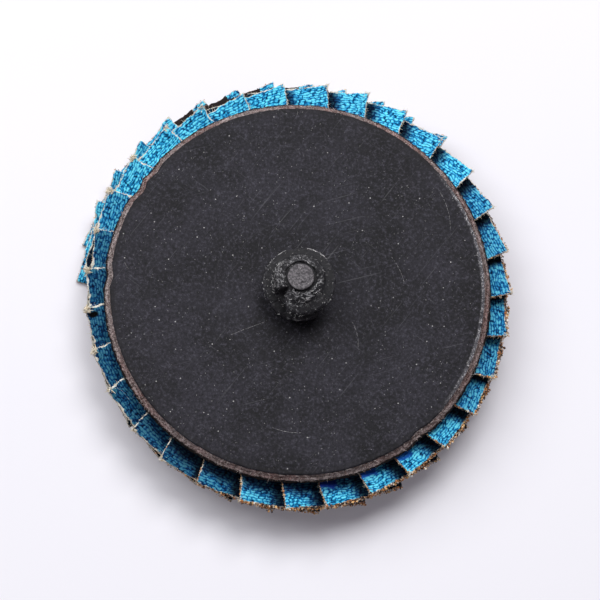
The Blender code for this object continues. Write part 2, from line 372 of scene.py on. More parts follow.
class Shape:
    """Gathers closed shells: points, faces, material numbers and two sets of values that materials read."""

    def __init__(self):
        self.points = []
        self.faces = []
        self.kinds = []
        self.flat = []
        self.weave = []
        self.wear = []
        self.count = 0

    def add(self, points, faces, kinds, weave=None, wear=None, flat=False):
        points = np.asarray(points, float).reshape(-1, 3)
        faces = np.asarray(faces)
        self.points.append(points)
        self.faces.extend((faces + self.count).tolist())
        self.kinds.append(np.broadcast_to(kinds, len(faces)))
        self.flat.append(np.full(len(faces), flat))
        self.weave.append(np.zeros((len(points), 3)) if weave is None else weave)
        self.wear.append(np.broadcast_to(np.zeros(3) if wear is None else wear, (len(points), 3)))
        self.count += len(points)

    def cap(self, first, last, kind, turned_over=False):
        """A flat face over the points from first up to last."""
        loop = list(range(first, last))
        self.faces.append(loop[::-1] if turned_over else loop)
        self.kinds.append(np.array([kind]))
        self.flat.append(np.array([False]))

    def build(self, name, materials, replaced=()):
        mesh = bpy.data.meshes.new(name)
        mesh.from_pydata(np.concatenate(self.points).tolist(), [], self.faces)
        for material in materials:
            mesh.materials.append(material)
        mesh.polygons.foreach_set("material_index", np.concatenate(self.kinds).astype(np.int32))
        mesh.polygons.foreach_set("use_smooth", ~np.concatenate(self.flat))
        for label, rows in (("weave", self.weave), ("wear", self.wear)):
            values = mesh.attributes.new(label, "FLOAT_VECTOR", "POINT")
            values.data.foreach_set("vector", np.concatenate(rows).astype(np.float32).ravel())
        mesh.update()
        obj = bpy.data.objects.new(name, mesh)
        bpy.context.scene.collection.objects.link(obj)
        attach(obj, "root")
        if replaced:
            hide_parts(*replaced)
        return obj


def grid_faces(columns, rows):
    """Quads of a grid with that many points each way, row after row."""
    corner = (np.arange(rows - 1)[:, None] * columns + np.arange(columns - 1)[None, :]).ravel()
    return np.stack([corner, corner + 1, corner + columns + 1, corner + columns], axis=1)


def ring_faces(segments, rows, first=0):
    """Quads between rings of points that close on themselves."""
    row, step = np.meshgrid(np.arange(rows - 1), np.arange(segments), indexing="ij")
    after = (step + 1) % segments
    low = first + row * segments
    high = low + segments
    return np.stack([low + step, low + after, high + after, high + step], axis=-1).reshape(-1, 4)


def turned(profile, segments):
    """Points of a profile of (radius, height) rows turned once around Z, ring by ring, and their angles."""
    degrees = np.arange(segments) * 360.0 / segments
    rings = [around(radius, degrees, height) for radius, height in profile]
    return np.concatenate(rings), np.tile(degrees, len(profile))


def resampled(profile, step):
    """The profile with points no further apart than step, its corners kept."""
    rows = [profile[0]]
    for start, end in zip(profile, profile[1:]):
        length = math.dist(start, end)
        count = max(1, math.ceil(length / step))
        rows += [tuple(a + (b - a) * i / count for a, b in zip(start, end)) for i in range(1, count + 1)]
    return rows


def fibre(shape, kind, start, direction, length, radius, bend=0.0, sides=3, pieces=3):
    """A thin tapered fibre that may bend on its way out."""
    direction = direction / np.linalg.norm(direction)
    side = np.cross(direction, (0.3, 0.2, 1.0))
    side = side / np.linalg.norm(side)
    up = np.cross(side, direction)
    turns = np.arange(sides) * 2.0 * math.pi / sides
    rings = []
    for piece in range(pieces + 1):
        share = piece / pieces
        centre = start + direction * length * share + bend * length * share ** 2
        width = radius * (1.0 - 0.75 * share)
        rings.append(centre + width * (np.cos(turns)[:, None] * side + np.sin(turns)[:, None] * up))
    shape.add(np.concatenate(rings), ring_faces(sides, pieces + 1), kind, wear=LOOSE)
    last = shape.count - sides
    shape.cap(last, shape.count, kind)
    shape.cap(last - pieces * sides, last - (pieces - 1) * sides, kind, True)


NOT_BARE = 9.0                  # a wear value too far from the cut edge for bare yarn
LOOSE = (NOT_BARE, 1.0, 0.0)    # wear values of a loose end
CRYSTAL_POINTS = np.array([(1, 0, 0), (-1, 0, 0), (0, 1, 0), (0, -1, 0), (0, 0, 1), (0, 0, -1)], float)
CRYSTAL_FACES = np.array([(0, 2, 4), (2, 1, 4), (1, 3, 4), (3, 0, 4),
                          (2, 0, 5), (1, 2, 5), (3, 1, 5), (0, 3, 5)])


def crystals(shape, kind, centres, sizes, tones, draws):
    """Sharp grains, each a squashed and turned octahedron."""
    for centre, size, tone in zip(centres, sizes, tones):
        turn, _ = np.linalg.qr(draws.normal(size=(3, 3)))
        turn = turn * np.sign(np.linalg.det(turn))
        stretch = draws.uniform(0.6, 1.15, size=(6, 1)) * draws.uniform(0.7, 1.2, size=3)
        points = centre + size * (CRYSTAL_POINTS * stretch) @ turn.T
        shape.add(points, CRYSTAL_FACES, kind, wear=(0.0, tone, 0.0), flat=True)


# Materials


class Graph:
    """Short calls for building a material's nodes."""

    def __init__(self, name, roughness, **sockets):
        self.material = bpy.data.materials.new(name)
        self.material.use_nodes = True
        self.tree = self.material.node_tree
        self.shader = self.tree.nodes["Principled BSDF"]
        self.shader.inputs["Roughness"].default_value = roughness
        for socket, value in sockets.items():
            self.shader.inputs[socket.replace("_", " ")].default_value = value

    def put(self, socket, value):
        if isinstance(value, bpy.types.NodeSocket):
            self.tree.links.new(value, socket)
        elif isinstance(value, tuple) and socket.type == "RGBA":
            socket.default_value = (*value, 1.0)
        else:
            socket.default_value = value

    def node(self, kind, inputs=(), **settings):
        made = self.tree.nodes.new("ShaderNode" + kind)
        for name, value in settings.items():
            setattr(made, name, value)
        for name, value in dict(inputs).items():
            self.put(made.inputs[name], value)
        return made

    def maths(self, operation, first, second=0.0, clamp=False):
        made = self.node("Math", operation=operation, use_clamp=clamp)
        self.put(made.inputs[0], first)
        self.put(made.inputs[1], second)
        return made.outputs[0]

    def add(self, first, second):
        return self.maths("ADD", first, second)

    def times(self, first, second):
        return self.maths("MULTIPLY", first, second)

    def step(self, value, low, high):
        """0 below low, 1 above high, smooth between."""
        made = self.node("MapRange", {"From Min": low, "From Max": high}, interpolation_type="SMOOTHSTEP")
        self.put(made.inputs["Value"], value)
        return made.outputs["Result"]

    def mix(self, share, first, second):
        made = self.node("Mix", data_type="RGBA")
        self.put(made.inputs["Factor"], share)
        self.put(made.inputs[6], first)
        self.put(made.inputs[7], second)
        return made.outputs[2]

    def ramp(self, value, stops):
        """A colour that runs through the stops as the value rises."""
        made = self.node("ValToRGB")
        self.put(made.inputs[0], value)
        marks = made.color_ramp.elements
        marks.remove(marks[1])
        marks[0].position, marks[0].color = stops[0][0], (*stops[0][1], 1.0)
        for place, colour in stops[1:]:
            marks.new(place).color = (*colour, 1.0)
        return made.outputs[0]

    def hump(self, value, sharp):
        """Rises from 0 at each whole number to 1 between them; sharp below 1 makes the tops broader."""
        turned = self.times(self.maths("FRACT", value), math.pi)
        return self.maths("POWER", self.maths("SINE", turned), sharp)

    def white_noise(self, *numbers):
        """A random number from 0 to 1 for each set of whole numbers."""
        made = self.node("TexWhiteNoise", noise_dimensions="3D")
        cell = self.node("CombineXYZ")
        for socket, number in zip(cell.inputs, numbers):
            self.put(socket, number)
        self.put(made.inputs["Vector"], cell.outputs[0])
        return made.outputs["Value"]

    def values(self, label):
        """The three numbers that the mesh keeps under that name."""
        made = self.node("Attribute", attribute_name=label, attribute_type="GEOMETRY")
        parts = self.node("SeparateXYZ")
        self.tree.links.new(made.outputs["Vector"], parts.inputs[0])
        return made.outputs["Vector"], parts.outputs

    def place(self, stretch=(1.0, 1.0, 1.0), turn=0.0):
        """Object coordinates in millimetres, turned about Z by so many degrees and then stretched."""
        coordinates = self.node("TexCoord").outputs["Object"]
        turned_by = self.node("Mapping", {"Rotation": (0.0, 0.0, math.radians(turn))})
        self.put(turned_by.inputs["Vector"], coordinates)
        scaled = self.node("Mapping", {"Scale": tuple(1000.0 * s for s in stretch)})
        self.put(scaled.inputs["Vector"], turned_by.outputs[0])
        return scaled.outputs[0]

    def noise(self, vector, scale, detail=2.0, rough=0.5):
        made = self.node("TexNoise", {"Scale": scale, "Detail": detail, "Roughness": rough})
        self.put(made.inputs["Vector"], vector)
        return made.outputs[0]

    def specks(self, vector, scale, low, high):
        """1 in the middle of scattered dots and 0 away from them."""
        made = self.node("TexVoronoi", {"Scale": scale})
        self.put(made.inputs["Vector"], vector)
        return self.maths("SUBTRACT", 1.0, self.step(made.outputs["Distance"], low, high))

    def bump(self, height, distance, strength=1.0, base=None):
        made = self.node("Bump", {"Distance": distance, "Strength": strength})
        self.put(made.inputs["Height"], height)
        if base is not None:
            self.put(made.inputs["Normal"], base)
        return made.outputs[0]

    def finish(self, colour, normal=None, roughness=None):
        self.put(self.shader.inputs["Base Color"], colour)
        if normal is not None:
            self.put(self.shader.inputs["Normal"], normal)
        if roughness is not None:
            self.put(self.shader.inputs["Roughness"], roughness)
        return self.material


def blue_twill():
    """Dyed cloth whose pale warp floats stand over a dark weft, with bare white yarn at the cut edges, and
    painted shade from the weave's relief and from the tone.
    """
    g = Graph("blue_twill", 0.85, **{"Specular_IOR_Level": 0.12})
    weave, (across, along, lot) = g.values("weave")
    _, (rim, tone, soak) = g.values("wear")
    jitter = g.times(g.maths("SUBTRACT", g.noise(weave, 3.2), 0.5), 0.60)
    across = g.add(across, jitter)
    along = g.add(along, g.times(0.35, jitter))
    row = g.maths("DIVIDE", along, ROW / MM)
    row_number = g.maths("FLOOR", row)
    lot_number = g.maths("FLOOR", lot)
    slipped = g.times(0.40, g.white_noise(row_number, lot_number, 3.0))
    staggered = g.add(g.maths("DIVIDE", across, FLOAT / MM), g.times(row_number, 1.0 / FLOAT_STEPS))
    staggered = g.add(staggered, slipped)
    crown = g.add(0.42, g.times(0.58, g.hump(row, 0.95)))
    dip_number = g.maths("FLOOR", g.add(staggered, 0.5))
    depth = g.add(0.25, g.times(0.70, g.white_noise(dip_number, row_number, lot_number)))
    raised = g.maths("SUBTRACT", 1.0, g.times(depth, g.maths("SUBTRACT", 1.0, g.hump(staggered, 0.75))))
    fibres = g.node("Mapping", {"Scale": (3.0, 20.0, 1.0)})
    g.put(fibres.inputs["Vector"], weave)
    streaks = g.noise(fibres.outputs[0], 1.0, 3.0, 0.7)
    patch = g.white_noise(g.maths("FLOOR", staggered), row_number, g.add(lot_number, 0.5))
    worn = g.step(g.noise(weave, 2.3, 3.0, 0.7), 0.36, 0.64)
    # Painted shade and highlight: the colour follows the weave's relief, darkest in its grooves and dips and
    # palest on the crowns, besides the yarns' own patches.
    height = g.times(crown, raised)
    yarn = g.add(g.times(0.40, patch), g.times(0.60, worn))
    shown = g.times(g.times(height, g.add(0.26, g.times(0.88, yarn))), g.add(0.72, g.times(0.56, streaks)))
    dyed_and_shaded = ((0.08, (0.001, 0.010, 0.030)), (0.20, (0.002, 0.060, 0.170)), (0.35, (0.008, 0.215, 0.490)),
            (0.50, (0.040, 0.450, 0.800)), (0.68, (0.170, 0.800, 1.000)))
    colour = g.ramp(shown, dyed_and_shaded)
    colour = g.mix(g.times(soak, 0.92), colour, (0.012, 0.110, 0.55))
    torn = g.add(g.noise(weave, 5.0, 3.0, 0.7), g.noise(weave, 1.6, 3.0, 0.7))
    ragged = g.add(rim, g.times(g.maths("SUBTRACT", torn, 1.0), 0.42))
    bare = g.maths("SUBTRACT", 1.0, g.step(ragged, 0.01, 0.07))
    # Painted shade: the tone darkens the cloth and turns it bluer where shade is painted.
    shade = g.node("HueSaturation")
    g.put(shade.inputs["Value"], tone)
    g.put(shade.inputs["Hue"], g.add(0.53, g.times(-0.03, tone)))
    g.put(shade.inputs["Color"], colour)
    strands = g.mix(g.step(torn, 0.85, 1.15), (0.62, 0.60, 0.52), (0.92, 0.90, 0.84))
    colour = g.mix(bare, shade.outputs[0], strands)
    smoothing = g.maths("SUBTRACT", 1.0, g.times(0.7, soak))
    normal = g.bump(g.times(g.add(height, g.times(0.35, streaks)), smoothing), 0.05 * MM, 0.9)
    return g.finish(colour, normal)


def cut_cloth():
    """The cut edge of the cloth: cream yarn ends, some of them dyed or dark between."""
    g = Graph("cut_cloth", 0.9, **{"Specular_IOR_Level": 0.2})
    where = g.place()
    ends = g.noise(where, 4.2, 3.0, 0.75)
    fine = g.noise(where, 14.0, 2.0, 0.6)
    colour = g.mix(g.step(ends, 0.38, 0.47), (0.04, 0.17, 0.28), (0.78, 0.70, 0.56))
    colour = g.mix(g.step(ends, 0.50, 0.60), colour, (0.94, 0.92, 0.86))
    rust = g.step(g.noise(where, 1.9, 3.0, 0.7), 0.55, 0.63)
    colour = g.mix(g.times(0.8, rust), colour, (0.55, 0.25, 0.13))
    colour = g.mix(g.times(0.7, g.step(fine, 0.62, 0.75)), colour, (0.05, 0.035, 0.025))
    return g.finish(colour, g.bump(g.add(ends, fine), 0.06 * MM))


def grain_coat(name, tint, shine):
    """Sharp grains bonded in resin."""
    g = Graph(name, 0.45, **{"Specular_IOR_Level": shine})
    where = g.place()
    grains = g.node("TexVoronoi", {"Scale": 4.6, "Randomness": 1.0})
    g.put(grains.inputs["Vector"], where)
    tone = g.node("SeparateColor")
    g.put(tone.inputs[0], grains.outputs["Color"])
    body = tuple(1.7 * c for c in tint)
    pale = tuple(min(0.8, 0.25 + 3.0 * c) for c in tint)
    dark = tuple(0.3 * c for c in tint)
    colour = g.mix(g.step(tone.outputs[0], 0.2, 0.7), dark, body)
    colour = g.mix(g.times(0.8, g.step(tone.outputs[1], 0.86, 0.95)), colour, pale)
    colour = g.mix(g.step(grains.outputs["Distance"], 0.35, 0.62), colour, dark)
    patches = g.noise(where, 0.35, 3.0, 0.6)
    colour = g.mix(g.times(0.55, g.step(patches, 0.42, 0.7)), colour, dark)
    fine = g.noise(where, 11.0, 3.0, 0.6)
    height = g.maths("SUBTRACT", g.times(0.4, fine), grains.outputs["Distance"])
    rough = g.add(0.3, g.times(0.5, fine))
    return g.finish(colour, g.bump(height, 0.14 * MM), rough)


def loose_grain():
    """Single grains and crumbs: the mesh's tone runs from dark through orange to white."""
    g = Graph("loose_grain", 0.4, **{"Specular_IOR_Level": 0.5})
    _, (_, tone, _) = g.values("wear")
    fine = g.noise(g.place(), 16.0, 2.0, 0.6)
    shown = g.add(tone, g.times(0.16, g.maths("SUBTRACT", fine, 0.5)))
    colour = g.mix(g.step(shown, 0.18, 0.40), (0.020, 0.010, 0.008), (0.50, 0.18, 0.045))
    colour = g.mix(g.step(shown, 0.5, 0.70), colour, (0.85, 0.50, 0.20))
    colour = g.mix(g.step(shown, 0.78, 0.92), colour, (0.88, 0.82, 0.74))
    return g.finish(colour, g.bump(fine, 0.03 * MM))


def fine_fibre(name, colour, dark):
    """Loose yarn and fibre ends, mottled along their length."""
    g = Graph(name, 0.9, **{"Specular_IOR_Level": 0.2, "Sheen_Weight": 0.2})
    mottle = g.noise(g.place(), 7.0, 2.0, 0.6)
    return g.finish(g.mix(g.step(mottle, 0.35, 0.65), dark, colour), g.bump(mottle, 0.02 * MM))


def charcoal_face():
    """Thin black coating over fibre: mottled, scuffed in fine lines, and dusty, with a painted highlight
    along its lifted edge.
    """
    g = Graph("charcoal_face", 0.6, **{"Specular_IOR_Level": 0.16})
    where = g.place()
    clouds = g.noise(where, 0.13, 4.0, 0.65)
    grain = g.noise(where, 3.0, 5.0, 0.8)
    fine = g.noise(where, 9.0, 3.0, 0.6)
    colour = g.mix(g.step(clouds, 0.34, 0.66), (0.0075, 0.0069, 0.0095), (0.0205, 0.0190, 0.0268))
    colour = g.mix(g.times(0.9, g.step(grain, 0.50, 0.66)), colour, (0.060, 0.057, 0.074))
    colour = g.mix(g.times(0.8, g.step(grain, 0.48, 0.36)), colour, (0.003, 0.003, 0.004))
    scuffs = 0.0
    for turn, long_way, low in ((38.0, 0.10, 0.66), (128.0, 0.16, 0.69), (75.0, 0.07, 0.68)):
        lines = g.noise(g.place((5.5, long_way, 1.0), turn), 1.0, 3.0, 0.55)
        scuffs = g.add(scuffs, g.times(g.step(lines, low - 0.02, low + 0.08), 0.55))
    radial = g.node("VectorMath", operation="LENGTH")
    g.put(radial.inputs[0], g.place((1.0, 1.0, 0.0)))
    rings = g.node("CombineXYZ")
    g.put(rings.inputs[0], g.times(radial.outputs["Value"], 3.2))
    g.put(rings.inputs[1], g.times(clouds, 1.5))
    turning = g.noise(rings.outputs[0], 1.0, 3.0, 0.7)
    scuffs = g.add(scuffs, g.times(g.step(turning, 0.58, 0.78), 0.22))
    colour = g.mix(g.times(scuffs, g.add(0.35, clouds)), colour, (0.12, 0.118, 0.13))
    dusty = g.step(g.noise(where, 0.16, 3.0, 0.6), 0.38, 0.62)
    dust = g.times(g.specks(where, 1.9, 0.045, 0.10), g.add(0.25, g.times(0.7, dusty)))
    crumbs = g.times(g.specks(where, 0.75, 0.04, 0.065), 0.9)
    colour = g.mix(g.maths("MAXIMUM", dust, crumbs), colour, (0.52, 0.51, 0.52))
    edge = g.step(radial.outputs["Value"], FACE_RADIUS / MM - 0.9, FACE_RADIUS / MM - 0.15)
    colour = g.mix(g.times(0.45, edge), colour, (0.010, 0.009, 0.010))
    # Painted highlight: a pale flecked line along the face's edge where it has lifted.
    _, (lit_edge, _, _) = g.values("wear")
    flecks = g.step(g.noise(where, 6.0, 3.0, 0.7), 0.52, 0.66)
    silver = g.mix(flecks, (0.085, 0.082, 0.095), (0.62, 0.60, 0.62))
    colour = g.mix(g.times(lit_edge, g.step(g.noise(where, 1.4, 3.0, 0.6), 0.32, 0.5)), colour, silver)
    height = g.add(g.times(grain, 0.7), g.add(g.times(fine, 0.3), scuffs))
    rough = g.add(0.48, g.times(0.25, grain))
    return g.finish(colour, g.bump(height, 0.03 * MM, 0.8), rough)


def brown_board():
    """Cut edge of pressed fibre board: matted layers, redder in places, with pale torn fibres, and painted
    shade that blackens the wall below the facet.
    """
    g = Graph("brown_board", 0.9, **{"Specular_IOR_Level": 0.2})
    where = g.place()
    layers = g.noise(g.place((0.7, 0.7, 7.0)), 1.0, 3.0, 0.7)
    matted = g.noise(where, 3.4, 4.0, 0.75)
    patches = g.noise(where, 0.12, 2.0, 0.5)
    red = g.mix(g.step(matted, 0.38, 0.62), (0.085, 0.042, 0.038), (0.40, 0.255, 0.245))
    grey = g.mix(g.step(matted, 0.38, 0.62), (0.105, 0.080, 0.078), (0.50, 0.42, 0.42))
    colour = g.mix(g.step(patches, 0.40, 0.60), red, grey)
    colour = g.mix(g.times(0.6, g.step(layers, 0.56, 0.46)), colour, (0.045, 0.028, 0.024))
    torn = g.step(g.noise(where, 5.5, 3.0, 0.7), 0.56, 0.68)
    colour = g.mix(g.times(0.85, torn), colour, (0.66, 0.60, 0.59))
    # Painted shade: the wall below the rim's facet is painted near black.
    _, (wall_shade, _, _) = g.values("wear")
    colour = g.mix(wall_shade, colour, (0.010, 0.007, 0.007))
    return g.finish(colour, g.bump(g.add(matted, layers), 0.09 * MM))


def black_nylon():
    """Moulded nylon rubbed pale on its tip, and on the thread's crest rubbed and painted paler as highlight.
    """
    g = Graph("black_nylon", 0.5, **{"Specular_IOR_Level": 0.3})
    where = g.place()
    _, (tip, crest, ring) = g.values("wear")
    clouds = g.noise(where, 0.9, 4.0, 0.6)
    grain = g.noise(where, 4.5, 4.0, 0.75)
    colour = g.mix(clouds, (0.004, 0.004, 0.005), (0.015, 0.014, 0.018))
    rub = g.step(grain, 0.44, 0.60)
    colour = g.mix(g.times(tip, g.add(0.30, g.times(0.70, rub))), colour, (0.19, 0.175, 0.190))
    scuffed = g.times(g.step(g.noise(where, 1.3, 4.0, 0.7), 0.46, 0.60), rub)
    colour = g.mix(g.times(ring, scuffed), colour, (0.26, 0.255, 0.27))
    # Painted highlight as well as rub: the crest is paler.
    colour = g.mix(g.times(crest, g.times(0.45, rub)), colour, (0.10, 0.096, 0.11))
    streak = g.noise(g.place((7.0, 0.9, 0.9), 62.0), 1.0, 3.0, 0.6)
    colour = g.mix(g.times(0.5, g.step(streak, 0.60, 0.74)), colour, (0.14, 0.135, 0.15))
    flecks = g.specks(where, 2.6, 0.06, 0.12)
    colour = g.mix(g.times(0.8, flecks), colour, (0.7, 0.68, 0.66))
    height = g.add(grain, g.times(0.8, g.noise(where, 1.8, 3.0, 0.6)))
    rough = g.maths("SUBTRACT", g.add(0.30, g.times(0.35, grain)), g.times(0.15, crest))
    return g.finish(colour, g.bump(height, 0.12 * MM, 0.9), rough)


def dark_resin(name, colour, paler, roughness):
    """Set resin: glossy where it ran, dull and pitted elsewhere."""
    g = Graph(name, roughness, **{"Specular_IOR_Level": 0.4})
    where = g.place()
    flow = g.noise(where, 0.7, 4.0, 0.6)
    pits = g.noise(where, 5.0, 3.0, 0.6)
    shown = g.mix(g.step(flow, 0.35, 0.7), colour, paler)
    rough = g.add(roughness - 0.15, g.times(0.4, pits))
    return g.finish(shown, g.bump(g.add(flow, g.times(0.4, pits)), 0.12 * MM), rough)


def pale_floor():
    """A matt white table. What the camera sees of it is lifted to white, and shadows stay."""
    g = Graph("pale_floor", 0.9, **{"Specular_IOR_Level": 0.1})
    soft = g.noise(g.place(), 0.02, 2.0, 0.5)
    colour = g.mix(soft, *FLOOR_COLOURS)
    ray = g.node("LightPath")
    seen = g.maths("MAXIMUM", ray.outputs["Is Camera Ray"], ray.outputs["Is Glossy Ray"])
    g.shader.inputs["Emission Color"].default_value = FLOOR_GLOW
    g.put(g.shader.inputs["Emission Strength"], g.times(seen, FLOOR_GLOW_STRENGTH))
    return g.finish(colour)


# Flaps, whose materials are numbered in this order
CLOTH, CUT, GRAIN, YARN, CRUMB, SOAKED = range(6)


def upper_corner(index):
    """Angle of an upper flap's outer clockwise corner: even spacing with the drift of hand laying."""
    even = UPPER_PHASE + index * 360.0 / UPPER_FLAPS
    return even + LAY_WANDER * math.cos(math.radians(even - LAY_WANDER_PEAK))


def upper_reach(corner):
    oval, oval_angle = UPPER_OVAL
    shift, shift_angle = UPPER_SHIFT
    reach = UPPER_REACH + oval * math.cos(math.radians(2.0 * (corner - oval_angle)))
    for height, middle, half_width in UPPER_BULGES:
        share = min(1.0, abs(angle_gap(corner, middle)) / half_width)
        reach += 0.5 * height * (1.0 + math.cos(math.pi * share))
    return reach + shift * math.cos(math.radians(corner - shift_angle))


def lower_corner(index):
    drift, drift_angle = LOWER_DRIFT
    even = LOWER_PHASE + index * 360.0 / LOWER_FLAPS
    return even + drift * math.cos(math.radians(even - drift_angle))


def lower_reach(corner):
    gap = abs(angle_gap(corner, LOWER_SHOWN_MIDDLE))
    shown = smooth(LOWER_SHOWN_HALF + LOWER_FADE, LOWER_SHOWN_HALF, gap)
    near = 180.0 / LOWER_FLAPS
    further = sum(extra for angle, extra in LOWER_LONG if abs(angle_gap(corner, angle)) < near)
    return LOWER_HIDDEN + (LOWER_SHOWN - LOWER_HIDDEN) * shown + further


class Flap:
    """One rectangle of coated cloth in its place: it climbs clockwise and springs up at its outer corner."""

    def __init__(self, corner, inner, reach, top, rise, curl, lift, wedge=0.0, rounded=0.0):
        self.half = 0.5 * FLAP_WIDTH
        self.inner = inner
        self.reach = reach
        self.outer = math.sqrt(reach * reach - self.half * self.half)
        self.middle = corner - math.degrees(math.asin(self.half / reach))
        self.top = top
        self.rise = rise
        self.curl = curl
        self.lift = lift
        self.wedge = wedge
        self.rounded = rounded * (reach - self.outer)

    def place(self, across, along, below):
        """Points at distances across and along the flap, and below its cloth side."""
        outward = smooth(self.inner, self.outer, along)
        pushed = smooth(0.55 * self.half, 0.95 * self.half, across) * outward - 1.0
        round_off = (1.0 - (across / self.half) ** 2) * outward
        along = along + self.wedge * pushed + self.rounded * round_off
        radius = np.hypot(across, along)
        turn = np.arctan2(across, along)
        half_angle = np.arcsin(self.half / radius)
        share = (half_angle - turn) / (2.0 * half_angle)
        spring = self.curl * (radius - self.inner) / (self.reach - self.inner)
        height = self.top - self.rise * (share + spring * share * (1.0 - share))
        flick = smooth(0.35, 0.0, share) * smooth(PLATE_RADIUS, self.reach, radius)
        return around(radius, self.middle + np.degrees(turn), height + self.lift * flick - below)

    def beyond(self, other, across, along):
        """How far clockwise of the other flap's raised edge these points of this one lie."""
        radius = np.hypot(across, along)
        turn = np.arctan2(across, along) + math.radians(angle_gap(self.middle, other.middle))
        return radius * np.sin(turn) - other.half


def weave_height(across, along):
    """Relief of the twill, from 0 in the grooves to 1 on the floats."""
    row = along / ROW
    crown = 0.5 + 0.5 * np.cos(2.0 * math.pi * (row - np.floor(row) - 0.5))
    step = np.mod(across / FLOAT + np.floor(row) / FLOAT_STEPS, 1.0)
    raised = smooth(0.0, 0.25, 0.5 - np.abs(step - 0.5))
    return (0.35 + 0.65 * crown) * (0.4 + 0.6 * raised)


def slab(shape, flap, across, along, traits):
    """A flap as a closed slab: cloth above, grain below, and a ragged cut edge in bands between.
    The traits say how this flap is worn and where shade is painted on it, some of them by functions of the
    place on it."""
    columns, rows = len(across), len(along)
    s, t = (grid.ravel() for grid in np.meshgrid(across, along))
    cut = np.minimum(flap.half - s, flap.outer - t)
    seed = traits["seed"]
    key = np.stack([s, t, np.full_like(s, seed * 0.01)], axis=1)
    ragged = rough(key, seed, CUT_RAGGED)
    near_cut = smooth(0.5 * MM, 0.0, cut)
    s_cut = s + ragged * near_cut * (s > 0)
    t_cut = t + ragged * near_cut * (t > 0.9 * flap.outer)
    s_woven = s + rough(key, seed + 20, WARP_SLIP)
    t_woven = flap.outer - t + rough(key, seed + 22, WEFT_SLIP)
    rise = rough(key, seed + 2, CLOTH_WAVES) - WEAVE_RELIEF * weave_height(s_woven, t_woven)
    droop = CUT_DROOP * near_cut * (0.5 + 0.5 * soft_noise(key, 0.45 * MM, seed + 3))
    top = flap.place(s_cut, t_cut, WEAVE_RELIEF + rise + droop)
    lumps = GRAIN_RELIEF * np.abs(soft_noise(key, 0.32 * MM, seed + 4)) + 0.5 * GRAIN_RELIEF * (
        soft_noise(key, 0.17 * MM, seed + 5))
    low = flap.place(s_cut, t_cut, FLAP_THICKNESS - GRAIN_RELIEF + lumps)
    count = columns * rows
    front = np.arange(columns)
    side = (np.arange(1, rows) + 1) * columns - 1
    back = count - 2 - np.arange(columns - 1)
    other = np.arange(rows - 2, 0, -1) * columns
    loop = np.concatenate([front, side, back, other])
    length = len(loop)
    shares = traits["bands"]
    bands = []
    for number, share in enumerate(shares):
        out = rough(key[loop], seed + 6 + number, BAND_RAGGED, 3)
        beyond = np.where(s[loop] > flap.half - ON_EDGE, out, 0.0)
        outward = np.where(t[loop] > flap.outer - ON_EDGE, out, 0.0)
        bands.append(flap.place(s_cut[loop] + beyond, t_cut[loop] + outward, share * FLAP_THICKNESS))
    resin = traits["resin"](s, t)
    grid = grid_faces(columns, rows)
    rings = [loop] + [2 * count + number * length + np.arange(length) for number in range(len(shares))]
    rings.append(loop + count)
    walls = []
    wall_kinds = []
    levels = (0.0, *shares, 1.0)
    for number, (high, lower) in enumerate(zip(rings, rings[1:])):
        walls.append(np.stack([high, lower, np.roll(lower, -1), np.roll(high, -1)], axis=1))
        middle = 0.5 * (levels[number] + levels[number + 1])
        wall_kind = CUT if middle < traits["cloth_share"] else GRAIN
        wall_kinds.append(np.where(resin[loop], SOAKED, wall_kind))
    weave = np.zeros((2 * count + len(shares) * length, 3))
    weave[:count, 0] = s_woven / MM
    weave[:count, 1] = t_woven / MM
    weave[:count, 2] = LOT * seed
    wear = np.zeros_like(weave)
    wear[:, 0] = NOT_BARE
    thick = np.maximum(0.0, soft_noise(key, 0.55 * MM, seed + 24))
    wear[:count, 0] = (cut - traits["frayed"] * thick) / MM
    # The tone holds each flap's random tone and the painted shade that the cloth's colour reads.
    wear[:, 1] = traits["tone"]
    wear[:count, 1] *= traits["shade"](s, t, key)
    wear[:count, 2] = traits["soak"](s, t, top)
    faces = np.concatenate([grid, (grid + count)[:, ::-1], *walls])
    top_kinds = np.where(resin[grid].mean(axis=1) > 0.5, SOAKED, CLOTH)
    all_kinds = np.concatenate([top_kinds, np.full(len(grid), GRAIN), *wall_kinds])
    shape.add(np.concatenate([top, low, *bands]), faces, all_kinds, weave, wear)


def edge_spots(flap, draws, count, clockwise_share, first_along):
    """Places along a flap's clockwise and outer cut edges, and the direction straight out of each."""
    on_side = draws.random(count) < clockwise_share
    across = np.where(on_side, flap.half, draws.uniform(-flap.half, flap.half, count))
    along = np.where(on_side, draws.uniform(first_along, flap.outer, count), flap.outer)
    return across, along, on_side


def fray(shape, flap, draws, count, first_along, longest):
    """Yarn ends and fluff that stand out of the cut edges."""
    across, along, on_side = edge_spots(flap, draws, count, FRAY_ON_SIDE, first_along)
    below = draws.uniform(0.0, CLOTH_SHARE * FLAP_THICKNESS, count)
    starts = flap.place(across, along, below)
    reach = 0.2 * MM
    aims = flap.place(across + reach * on_side, along + reach * ~on_side, below) - starts
    for start, aim in zip(starts, aims):
        aim = aim / np.linalg.norm(aim) + draws.normal(scale=0.55, size=3)
        length = longest * draws.beta(1.6, 4.0) + 0.06 * MM
        bend = draws.normal(scale=0.35, size=3)
        fibre(shape, YARN, start - YARN_ROOT * aim, aim, length, draws.uniform(*YARN_RADII), bend)


